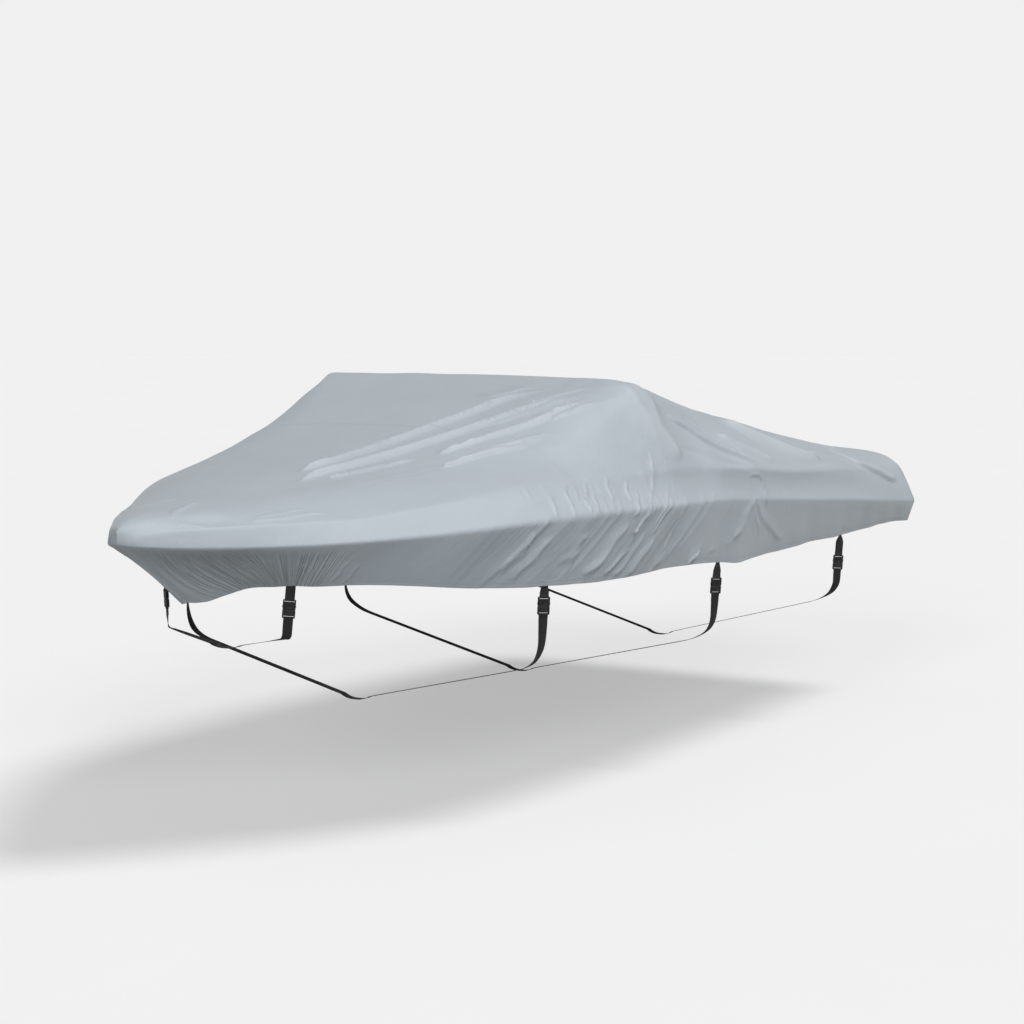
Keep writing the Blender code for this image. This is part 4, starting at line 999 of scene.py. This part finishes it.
def stitch_tree():
    """A node group that lays stitches along the edges of a guide mesh."""
    tree = bpy.data.node_groups.new("lay_stitches", "GeometryNodeTree")
    face = tree.interface
    face.new_socket("Geometry", in_out="INPUT", socket_type="NodeSocketGeometry")
    face.new_socket("Cloth", in_out="INPUT", socket_type="NodeSocketObject")
    for label in ("Pitch", "Length", "Thread"):
        face.new_socket(label, in_out="INPUT", socket_type="NodeSocketFloat")
    face.new_socket("Material", in_out="INPUT", socket_type="NodeSocketMaterial")
    face.new_socket("Geometry", in_out="OUTPUT", socket_type="NodeSocketGeometry")

    def add(kind, settings=(), links=()):
        made = tree.nodes.new(kind)
        for key, value in dict(settings).items():
            setattr(made, key, value)
        for key, value in dict(links).items():
            if isinstance(value, bpy.types.NodeSocket):
                tree.links.new(value, made.inputs[key])
            else:
                made.inputs[key].default_value = value
        return made

    given = add("NodeGroupInput").outputs
    cloth = add("GeometryNodeObjectInfo", {"transform_space": "RELATIVE"}, {"Object": given["Cloth"]})
    line = add("GeometryNodeMeshToCurve", (), {"Mesh": given["Geometry"]})
    spots = add("GeometryNodeCurveToPoints", {"mode": "LENGTH"}, {
        "Curve": line.outputs[0], "Length": given["Pitch"]})
    near = add("GeometryNodeProximity", {"target_element": "FACES"}, {0: cloth.outputs["Geometry"]})
    facing = add("GeometryNodeInputNormal")
    surface = add("GeometryNodeSampleNearestSurface", {"data_type": "FLOAT_VECTOR"}, {
        "Mesh": cloth.outputs["Geometry"], "Value": facing.outputs[0]})
    lift = add("ShaderNodeVectorMath", {"operation": "SCALE"}, {
        0: surface.outputs[0], 3: THREAD_LIFT})
    seat = add("ShaderNodeVectorMath", {"operation": "ADD"}, {
        0: near.outputs["Position"], 1: lift.outputs[0]})
    turn = add("FunctionNodeAxesToRotation", {"primary_axis": "X", "secondary_axis": "Z"}, {
        0: spots.outputs["Tangent"], 1: surface.outputs[0]})
    laid = add("GeometryNodeSetPosition", (), {
        "Geometry": spots.outputs["Points"], "Position": seat.outputs[0]})
    ball = add("GeometryNodeMeshUVSphere", (), {"Segments": 6, "Rings": 4, "Radius": 0.5})
    size = add("ShaderNodeCombineXYZ", (), {0: given["Length"], 1: given["Thread"], 2: given["Thread"]})
    placed = add("GeometryNodeInstanceOnPoints", (), {
        "Points": laid.outputs[0], "Instance": ball.outputs["Mesh"],
        "Rotation": turn.outputs[0], "Scale": size.outputs[0]})
    real = add("GeometryNodeRealizeInstances", (), {0: placed.outputs[0]})
    done = add("GeometryNodeSetMaterial", (), {0: real.outputs[0], "Material": given["Material"]})
    add("NodeGroupOutput", (), {0: done.outputs[0]})
    return tree


THREAD_FINISH = thread_finish()
STITCH_TREE = stitch_tree()


def sew(name, lines, cloth, pitch=STITCH_PITCH, length=STITCH_LENGTH, thick=THREAD):
    """Lay stitches along guide lines on a cloth, as one plain mesh."""
    points, edges = [], []
    for line in lines:
        start = len(points)
        points += [tuple(p) for p in line]
        edges += [(start + i, start + i + 1) for i in range(len(line) - 1)]
    mesh = bpy.data.meshes.new(name + "_guide")
    mesh.from_pydata(points, edges, [])
    guide = link(bpy.data.objects.new(name + "_guide", mesh))
    layer = guide.modifiers.new("stitches", "NODES")
    layer.node_group = STITCH_TREE
    wanted = {"Cloth": cloth, "Pitch": pitch, "Length": length, "Thread": thick,
              "Material": THREAD_FINISH}
    for socket in STITCH_TREE.interface.items_tree:
        if socket.in_out == "INPUT" and socket.name in wanted:
            layer[socket.identifier] = wanted[socket.name]
    made = settle(guide, name)
    print(name, len(made.data.polygons), "faces")
    return made


# %% Stitch lines of the hem and the seam
HEM_STITCHES = (0.0105, 0.0235)      # above the hem's edge
SEAM_STITCHES = 0.0042               # to either side of the seam's middle
STITCH_ROWS = 2                      # a guide line has a point at every second row


def lines_above_hem(heights):
    """Lines round the cover that run at given heights above the hem's edge."""
    points = cover_points()[0]
    sides = [points[:ROWS + 1, :FLAP_STEPS + 1], points[:ROWS + 1, ::-1][:, :FLAP_STEPS + 1]]
    tail = points[ROWS:, FLAP_STEPS:points.shape[1] - FLAP_STEPS][::-1].transpose(1, 0, 2)
    lines = []
    for sheet in sides + [tail[:, :FLAP_STEPS + 1]]:
        steps = np.linalg.norm(np.diff(sheet, axis=1), axis=2)
        reach = np.concatenate((np.zeros((len(sheet), 1)), np.cumsum(steps, axis=1)), axis=1)
        for height in heights:
            line = [[np.interp(height, reach[r], sheet[r, :, k]) for k in range(3)]
                    for r in range(0, len(sheet), STITCH_ROWS)]
            lines.append(line)
    return lines


def lines_beside_seam(offset):
    """Lines across the cloth, to either side of the foredeck seam."""
    spots = [seam_along() + offset * k for k in (-2, -1, 0, 1, 2)]
    rows = folded_sheet(np.array([0.0, *spots, RAIL_LENGTH]))[0]
    return [rows[2], rows[4]]


hem_stitches = sew("hem_stitches", lines_above_hem(HEM_STITCHES), cover)
seam_stitches = sew("seam_stitches", lines_beside_seam(SEAM_STITCHES), cover)

# %% [markdown]
# ## Webbing
# The straps are flat polyester webbing, 38 mm wide, woven in a ribbed twill.  Each set
# has a tab sewn inside the flap at either side, which turns round the buckle's bar, and
# one long strap under the hull.  A ribbon with rounded edges is carried along the path,
# so that the weave can follow the ribbon's own measure.

# %% Webbing finish
WEB_WIDTH = 0.038
WEB_THICK = 0.0016
RIB = 0.0021
WEB_YARN = 0.0013
SELVAGE = 0.0165                     # the edge begins this far from the middle


def webbing_finish():
    """Black ribbed webbing with slightly rubbed edges."""
    web = Finish("ribbed_webbing", 0.62, Sheen_Weight=0.10, Sheen_Roughness=0.35,
                 Specular_IOR_Level=0.22)
    u, v = web.place("cut")
    centre = abs(v)
    twill = ((u + centre) * (math.tau / RIB)).sine()
    yarn = (v * (math.tau / WEB_YARN)).sine()
    edge = ((centre - SELVAGE) / 0.0015).clamp()
    fuzz = web.noise(web.vector(u, v), 160.0, 4.0, 0.65)
    tone = (fuzz * 0.5 + twill * 0.12 + 0.2).clamp()
    ground = web.blend(tone, (0.010, 0.010, 0.011), (0.030, 0.030, 0.032))
    web.feed("Base Color", web.blend(edge * fuzz * 0.7, ground, (0.075, 0.075, 0.078)))
    web.feed("Roughness", 0.55 + fuzz * 0.2)
    web.emboss(twill * 0.00016 + yarn * 0.00008 + fuzz * 0.00010 - edge * 0.0002)
    return web.material


WEBBING = webbing_finish()
print("webbing finish ready")

# %% Ribbon along a path
GAP = 0.0003                         # pieces that touch are modelled this far apart
LEAF = (WEB_THICK + GAP) / 2         # from the middle of two layers to the middle of one
LOOP_RADIUS = 0.0038
LOOP_STEPS = 12
LOOP_MERGE = 3.5 * LOOP_RADIUS       # the two layers meet this far from the bar
TAIL_CLEAR = 0.002
CORNER_SHARE = 0.45                  # of a stretch that the rounding of its corner may take
CORNER_STEPS = 8
KEEL_STEPS = 6
KEEL_SLOPE = 1.6                     # the keel's rounding starts this much further up the side
EDGE_RINGS = ((-1.00, -0.55), (-0.94, -1.00), (-0.50, -1.00), (0.00, -1.00), (0.50, -1.00),
              (0.94, -1.00), (1.00, -0.55), (1.00, 0.55), (0.94, 1.00), (0.50, 1.00),
              (0.00, 1.00), (-0.50, 1.00), (-0.94, 1.00), (-1.00, 0.55))


def refine(path, across, longest=0.012):
    """Cut the long stretches of a path into shorter ones."""
    points, sides = [path[0]], [across[0]]
    for index in range(1, len(path)):
        count = max(1, math.ceil((path[index] - path[index - 1]).length / longest))
        for step in range(1, count + 1):
            t = step / count
            points.append(path[index - 1].lerp(path[index], t))
            sides.append(across[index - 1].lerp(across[index], t).normalized())
    return points, sides


def webbing(name, path, across):
    """Flat webbing: a rounded strip carried along a path, its width along given lines."""
    path, across = refine(path, across)
    shape = bmesh.new()
    layer = shape.loops.layers.uv.new("cut")
    rings, measure, reach = [], [], 0.0
    for index, point in enumerate(path):
        ahead = path[min(index + 1, len(path) - 1)]
        behind = path[max(index - 1, 0)]
        run = (ahead - behind).normalized()
        wide = (across[index] - run * across[index].dot(run)).normalized()
        deep = run.cross(wide)
        reach += (point - behind).length if index else 0.0
        measure.append(reach)
        rings.append([shape.verts.new(point + wide * (WEB_WIDTH / 2 * a) + deep * (WEB_THICK / 2 * b))
                      for a, b in EDGE_RINGS])
    count = len(EDGE_RINGS)
    for k in range(len(rings) - 1):
        for side in range(count):
            other = (side + 1) % count
            face = shape.faces.new((rings[k][side], rings[k][other],
                                    rings[k + 1][other], rings[k + 1][side]))
            spots = ((k, side), (k, other), (k + 1, other), (k + 1, side))
            for loop, (row, place) in zip(face.loops, spots):
                loop[layer].uv = (measure[row], EDGE_RINGS[place][0] * WEB_WIDTH / 2)
    shape.faces.new(rings[0][::-1])
    shape.faces.new(rings[-1])
    bmesh.ops.recalc_face_normals(shape, faces=shape.faces)
    item = mesh_object(name, shape)
    item.data.shade_smooth()
    item.data.set_sharp_from_angle(angle=math.radians(60))
    item.data.materials.append(WEBBING)
    return item, reach


def bar_loop(bar, lead, out, tail):
    """Webbing turned round a bar: up from its tail behind, round, and back in front."""
    points = [bar + lead * tail - out * LEAF, bar + lead * LOOP_MERGE - out * LEAF]
    for step in range(LOOP_STEPS + 1):
        angle = math.pi * (step / LOOP_STEPS - 0.5)
        points.append(bar + out * (LOOP_RADIUS * math.sin(angle))
                      - lead * (LOOP_RADIUS * math.cos(angle)))
    points.append(bar + lead * LOOP_MERGE + out * LEAF)
    points.append(bar + lead * (tail + TAIL_CLEAR) + out * LEAF)
    return points


def arc(start, corner, end, steps):
    """Points of the parabola that rounds a corner off."""
    shares = [step / steps for step in range(steps + 1)]
    return [start * (1 - t) ** 2 + corner * (2 * t * (1 - t)) + end * t ** 2 for t in shares]


def soften(corners, reach):
    """Points along a bent line whose corners are rounded, ending on its last point."""
    points = [corners[0]]
    for before, corner, after in zip(corners, corners[1:], corners[2:]):
        cut_in = min(reach, (corner - before).length * CORNER_SHARE)
        cut_out = min(reach, (after - corner).length * CORNER_SHARE)
        start = corner + (before - corner).normalized() * cut_in
        end = corner + (after - corner).normalized() * cut_out
        points += arc(start, corner, end, CORNER_STEPS)
    before, last = corners[-2:]
    level = last + Vector((0, (before - last).y, 0)).normalized() * reach
    slope = last + (before - last).normalized() * (reach * KEEL_SLOPE)
    return points + arc(slope, level, last, KEEL_STEPS)


print("ribbon of", len(EDGE_RINGS), "points round")

# %% [markdown]
# ## Buckles
# A side-release buckle is two mouldings in black acetal.  The socket has an open mouth
# and a window at each side.  The plug has two sprung prongs whose shoulders show in the
# windows and a middle guide.  Pressing both shoulders lets it go.  Both halves are cut
# from rounded blocks with booleans, as the mould is cut, then a Bevel rounds the edges.

# %% Buckle finish and parts
BUCKLE_WIDTH = 0.050
BUCKLE_THICK = 0.013
BUCKLE_HALF = 0.036                  # length of each half, from the middle
BAR_DEEP = 0.004                     # the bar that the webbing turns round
BAR_THICK = 0.0034
SLOT_END = 0.027                     # the slot beside it starts this far from the middle
SLOT_WIDTH = 0.040
SOCKET_MOUTH = -0.002                # where the socket ends, along the buckle
BLOCK_ROUND = 0.0030
MOUTH = (0.0205, 0.0036, 0.0180)     # half width, half height, and how far it goes in
WINDOW_SPAN = (0.0150, 0.0300)       # across, to either side
WINDOW_ALONG = (0.0035, 0.0150)
WINDOW_HALF = 0.0045
DISH_HALF = 0.0120
DISH_ALONG = (0.0030, 0.0160)
DISH_DEEP = 0.0007
GROOVE_HALF = 0.0160
GROOVE_DEEP = 0.0007
GROOVES_AT = (-0.0075, -0.0105, -0.0135, -0.0165)
PRONG_HALF = 0.0030                  # half the prongs' thickness
PRONG_OUTLINE = (
    (0.0050, 0.0140), (0.0050, -0.0035), (0.0130, -0.0035), (0.0135, 0.0040),
    (0.0145, 0.0150), (0.0170, 0.0150), (0.0230, 0.0125), (0.0268, 0.0110),
    (0.0275, 0.0090), (0.0262, 0.0070), (0.0185, 0.0058), (0.0180, -0.0060),
)


def plastic_finish():
    """Black moulded acetal with a fine spark grain and handling scuffs."""
    plastic = Finish("moulded_acetal", 0.42, Specular_IOR_Level=0.35)
    where = plastic.object_place()
    grain = plastic.noise(where, 1400.0, 2.0)
    scuff = plastic.noise(where, 55.0, 6.0, 0.7)
    marks = ((scuff - 0.56) * 7.0).clamp()
    plastic.feed("Base Color", plastic.blend(marks * 0.5, (0.014, 0.014, 0.015), (0.055, 0.055, 0.057)))
    plastic.feed("Roughness", 0.36 + grain * 0.10 + marks * 0.16)
    plastic.emboss(grain * 0.00004)
    return plastic.material


PLASTIC = plastic_finish()


def box_object(name, low, high, bevel=0.0, segments=2):
    """A box on its own, with its edges rounded where a bevel is given."""
    shape = bmesh.new()
    made = bmesh.ops.create_cube(shape, size=1.0)["verts"]
    bmesh.ops.scale(shape, vec=[b - a for a, b in zip(low, high)], verts=made)
    bmesh.ops.translate(shape, vec=[(a + b) / 2 for a, b in zip(low, high)], verts=made)
    if bevel:
        bmesh.ops.bevel(shape, geom=shape.edges, offset=bevel, segments=segments,
                        affect="EDGES", profile=0.5)
    return mesh_object(name, shape)


def rod_object(name, start, end, radius):
    """A short round rod, to cut a grip groove with."""
    shape = bmesh.new()
    axis = Vector(end) - Vector(start)
    place = axis.to_track_quat("Z", "Y").to_matrix().to_4x4()
    place.translation = (Vector(start) + Vector(end)) / 2
    bmesh.ops.create_cone(shape, cap_ends=True, segments=10, radius1=radius, radius2=radius,
                          depth=axis.length, matrix=place)
    return mesh_object(name, shape)


def prong_object(name):
    """The plug's three prongs: a flat outline with thickness."""
    outline = list(PRONG_OUTLINE) + [(-x, z) for x, z in reversed(PRONG_OUTLINE)]
    shape = bmesh.new()
    front = [shape.verts.new((x, -PRONG_HALF, z)) for x, z in outline]
    face = shape.faces.new(front)
    pulled = bmesh.ops.extrude_face_region(shape, geom=[face])["geom"]
    bmesh.ops.translate(shape, vec=(0, 2 * PRONG_HALF, 0),
                        verts=[g for g in pulled if isinstance(g, bmesh.types.BMVert)])
    bmesh.ops.recalc_face_normals(shape, faces=shape.faces)
    return mesh_object(name, shape)


def carve(body, tools, operation):
    """Apply booleans of the given kind, one after another."""
    for tool in tools:
        cut = body.modifiers.new(tool.name, "BOOLEAN")
        cut.operation = operation
        cut.object = tool
    graph = bpy.context.evaluated_depsgraph_get()
    mesh = bpy.data.meshes.new_from_object(body.evaluated_get(graph))
    body.modifiers.clear()
    body.data = mesh
    for tool in tools:
        bpy.data.objects.remove(tool)


def web_cutters(sign):
    """The slot that the webbing passes and the flats that thin the bar beyond it."""
    half, deep = SLOT_WIDTH / 2, BUCKLE_THICK
    bar = BUCKLE_HALF - BAR_DEEP
    slot = sorted((sign * SLOT_END, sign * bar))
    thin = sorted((sign * (bar - 0.001), sign * (BUCKLE_HALF + 0.002)))
    return [box_object("slot", (-half, -deep, slot[0]), (half, deep, slot[1])),
            box_object("flat_out", (-half, BAR_THICK / 2, thin[0]), (half, deep, thin[1])),
            box_object("flat_in", (-half, -deep, thin[0]), (half, -BAR_THICK / 2, thin[1]))]


def finish_moulding(item, name):
    """Round the edges of a moulding and give it its plastic."""
    soft = item.modifiers.new("edges", "BEVEL")
    soft.width = 0.0005
    soft.segments = 2
    soft.limit_method = "ANGLE"
    soft.angle_limit = math.radians(35)
    made = settle(item, name)
    mesh = made.data
    mesh.materials.clear()
    mesh.materials.append(PLASTIC)
    mesh.set_sharp_from_angle(angle=math.radians(40))
    bpy.data.objects.remove(made)
    return mesh


def buckle_meshes():
    """The two halves of the buckle, closed, in the buckle's own frame."""
    wide, thick = BUCKLE_WIDTH / 2, BUCKLE_THICK / 2
    socket = box_object("socket", (-wide, -thick, SOCKET_MOUTH), (wide, thick, BUCKLE_HALF),
                        BLOCK_ROUND, 3)
    mouth_half, mouth_high, mouth_deep = MOUTH
    near, far = WINDOW_SPAN
    cuts = [box_object("mouth", (-mouth_half, -mouth_high, 4 * SOCKET_MOUTH),
                       (mouth_half, mouth_high, mouth_deep))]
    for low, high in ((near, far), (-far, -near)):
        cuts.append(box_object("window", (low, -WINDOW_HALF, WINDOW_ALONG[0]),
                               (high, WINDOW_HALF, WINDOW_ALONG[1]), 0.0012))
    cuts.append(box_object("dish", (-DISH_HALF, thick - DISH_DEEP, DISH_ALONG[0]),
                           (DISH_HALF, thick + 0.01, DISH_ALONG[1]), 0.0006))
    carve(socket, cuts + web_cutters(1), "DIFFERENCE")
    plug = box_object("plug", (-wide, -thick, -BUCKLE_HALF), (wide, thick, SOCKET_MOUTH - GAP),
                      BLOCK_ROUND, 3)
    carve(plug, [prong_object("prongs")], "UNION")
    grooves = [rod_object("groove", (-GROOVE_HALF, thick, z), (GROOVE_HALF, thick, z), GROOVE_DEEP)
               for z in GROOVES_AT]
    carve(plug, web_cutters(-1) + grooves, "DIFFERENCE")
    return finish_moulding(socket, "socket_moulding"), finish_moulding(plug, "plug_moulding")


SOCKET_MESH, PLUG_MESH = buckle_meshes()
print("socket", len(SOCKET_MESH.polygons), "faces, plug", len(PLUG_MESH.polygons), "faces")

# %% [markdown]
# ## Strap sets
# Each set starts at the hem.  A ray from inside finds the cloth's inner face, so the
# tab lies on it.  The buckle hangs below on the tab's loop, and the strap goes on down
# the hull's line, under the keel, and up to the other side.  The hull is left out, so
# the straps keep the line that it gave them.

# %% Strap sets
# Each set: its place along the rail, how far the buckle hangs below the hem, how many
# degrees it turns towards the bow, and the hull's line as distance out and height.
STRAPS = {
    "bow": (0.677, 0.095, 0, ((0.291, -0.940), (0.258, -0.948), (0.0, -1.000))),
    "fore": (1.845, 0.082, 24, ((0.905, -1.042), (0.876, -1.105), (0.822, -1.137),
                                (0.0, -1.335))),
    "mid": (3.173, 0.106, 34, ((1.005, -1.095), (0.975, -1.145), (0.900, -1.185),
                               (0.0, -1.405))),
    "stern": (4.587, 0.140, 52, ((0.985, -1.085), (0.955, -1.135), (0.880, -1.175),
                                 (0.0, -1.415))),
}
TAB_INSIDE = 0.055                   # how far up inside the flap a tab is sewn
TAB_TAIL = 0.020                     # what is turned back round the bar
TAB_LIP = 0.006                      # the lowest seam lies this far above the hem's edge
STRAP_TAIL = 0.034
BOX_AT = 0.62                        # the box of stitches: its place as a share of the tab
BOX_SIZE = (0.030, 0.034)
BOX_STITCH = (0.0045, 0.0036, 0.0010)   # pitch, length and thickness
TWIST_LENGTH = 0.032                 # a tab has done its twist this far below the hem
TWIST_STEPS = 5
UNTWIST = 0.16                       # a belly strap lies flat again after this length
FLAP_LOOK = 8                        # grid steps up from the hem that give the flap's fall
PROBE = 0.08
CORNER_REACH = 0.045


def strap_frame(along, side):
    """The hem's point above a strap, the way down the flap, out, and along the hem."""
    places = np.array((along - WEB_WIDTH, along, along + WEB_WIDTH))
    rows = smooth_sheet(places)[:, :FLAP_STEPS + 1]
    hem = Vector(rows[1, 0])
    tangent = (Vector(rows[2, 0]) - Vector(rows[0, 0])).normalized()
    down = (hem - Vector(rows[1, FLAP_LOOK])).normalized()
    out = tangent.cross(down).normalized()
    if out.y > 0:
        out = -out
    flip = Vector((1, -side, 1))
    return [Vector(v[i] * flip[i] for i in range(3)) for v in (hem, down, out, tangent)]


def inside_face(tree, point, out, across):
    """How far the cloth's inner face lies from a point, over the webbing's width."""
    nearest = []
    for share in (-0.5, -0.25, 0.0, 0.25, 0.5):
        start = point + across * (share * WEB_WIDTH) - out * PROBE
        distance = tree.ray_cast(start, out, 2 * PROBE)[3]
        if distance is not None:
            nearest.append(distance - PROBE)
    return min(nearest, default=0.0)


def box_of_stitches(middle, down, across, wide, high):
    """Guide lines of a box with a cross in it."""
    corners = [middle + across * (a * wide / 2) + down * (b * high / 2)
               for a, b in ((-1, -1), (1, -1), (1, 1), (-1, 1))]
    return [corners + corners[:1], [corners[0], corners[2]], [corners[1], corners[3]]]


def outer_face(across, fall, out):
    """The direction that flat webbing faces on its outer side."""
    face = across.cross(fall).normalized()
    return -face if face.dot(out) < 0 else face


def turned(across, fall, out, degrees):
    """The webbing's width direction after its outer face has turned towards the bow."""
    face = outer_face(across, fall, out)
    forward = 1 if across.x < 0 else -1
    angle = math.radians(degrees)
    return across * math.cos(angle) - face * (forward * math.sin(angle))


webbing_pieces = []                  # each with its node and its length
mouldings = []                       # each with its node
box_lines = []                       # guide lines of the boxes sewn through the tabs


def build_strap(name, tree):
    """One strap set: a tab and a buckle on each side, and the strap under the hull."""
    along, drop, degrees, hull = STRAPS[name]
    ends = []
    for side_name, side in (("port", -1), ("starboard", 1)):
        label = name + "_" + side_name
        hem, down, out, tangent = strap_frame(along, side)
        inside = []
        for rise in (TAB_INSIDE, TAB_INSIDE / 2, TAB_LIP):
            point = hem - down * rise
            depth = inside_face(tree, point, out, tangent)
            inside.append(point + out * (depth - WEB_THICK / 2 - 2 * GAP))
        inside.append(inside[-1] + down * (2 * TAB_LIP) - out * WEB_THICK / 2)
        first = Vector((hem.x, side * hull[0][0], hull[0][1]))
        fall = (first - inside[-1]).normalized()
        across = (tangent - fall * tangent.dot(fall)).normalized()
        across = turned(across, fall, out, degrees)
        face = outer_face(across, fall, out)
        middle = inside[-1] - face * LEAF + fall * (drop - TAB_LIP)
        bar = BUCKLE_HALF - BAR_DEEP / 2
        loop = bar_loop(middle - fall * bar, -fall, face, TAB_TAIL)
        path, sides = list(loop), [across] * len(loop)
        free = (inside[-1] - loop[-1]).length
        for step in range(TWIST_STEPS):
            share = step / TWIST_STEPS
            below = (1 - share) * min(TWIST_LENGTH / free, 1)
            path.append(inside[-1].lerp(loop[-1], below))
            sides.append(across.lerp(tangent, share).normalized())
        path += inside[::-1]
        sides += [tangent] * len(inside)
        tab, length = webbing("web_tab_" + label, path, sides)
        webbing_pieces.append((tab, "tab_" + label, length))
        wide = face.cross(-fall)
        place = Matrix((wide, face, -fall)).transposed().to_4x4()
        place.translation = middle
        for part_name, mesh in (("socket_", SOCKET_MESH), ("plug_", PLUG_MESH)):
            own = mesh.copy()
            own.transform(place)
            mouldings.append((link(bpy.data.objects.new("moulded_" + part_name + label, own)),
                              part_name + label))
        outer = hem - down * (TAB_INSIDE * BOX_AT) + out * CLOTH
        box_lines.extend(box_of_stitches(outer, down, tangent, *BOX_SIZE))
        ends.append((bar_loop(middle + fall * bar, fall, face, STRAP_TAIL), across))
    build_belly(name, ends, hull)


def build_belly(name, ends, hull):
    """The strap from one buckle down the hull, under the keel, and up to the other."""
    halves = []
    for (loop, across), side in zip(ends, (-1, 1)):
        x = loop[-1].x
        corners = [loop[-1]] + [Vector((x, side * y, z)) for y, z in hull[:-1]]
        corners.append(Vector((x, 0.0, hull[-1][1])))
        bends = soften(corners, CORNER_REACH)
        turn = [across] * len(loop)
        far = Vector((-1 if across.x < 0 else 1, 0, 0))
        run = 0.0
        for before, point in zip(bends, bends[1:]):
            run += (point - before).length
            turn.append(across.lerp(far, min(run / UNTWIST, 1.0)).normalized())
        halves.append((loop[:-1] + bends, turn))
    (port, port_turn), (starboard, starboard_turn) = halves
    flip = -1 if port_turn[-1].dot(starboard_turn[-1]) < 0 else 1
    path = port[:-1] + starboard[::-1][1:]
    turn = port_turn[:-1] + [v * flip for v in starboard_turn[::-1][1:]]
    strap, length = webbing("web_strap_" + name, path, turn)
    webbing_pieces.append((strap, "strap_" + name, length))


cover_tree = BVHTree.FromObject(cover, bpy.context.evaluated_depsgraph_get())
for strap_name in STRAPS:
    build_strap(strap_name, cover_tree)
box_stitches = sew("box_stitches", box_lines, cover, *BOX_STITCH)
print("webbing pieces:", len(webbing_pieces), "mouldings:", len(mouldings))

# %% [markdown]
# ## Hand the pieces over
# Each piece stands for its solid in the imported model and rides on the one fixed body.

trims = [hem_stitches, seam_stitches, box_stitches]
for piece in [cover] + trims:
    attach(piece, "root")
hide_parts("cover_cloth")
for piece, node, length in webbing_pieces:
    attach(piece, "root")
    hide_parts(node)
for piece, node in mouldings:
    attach(piece, "root")
    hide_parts(node)
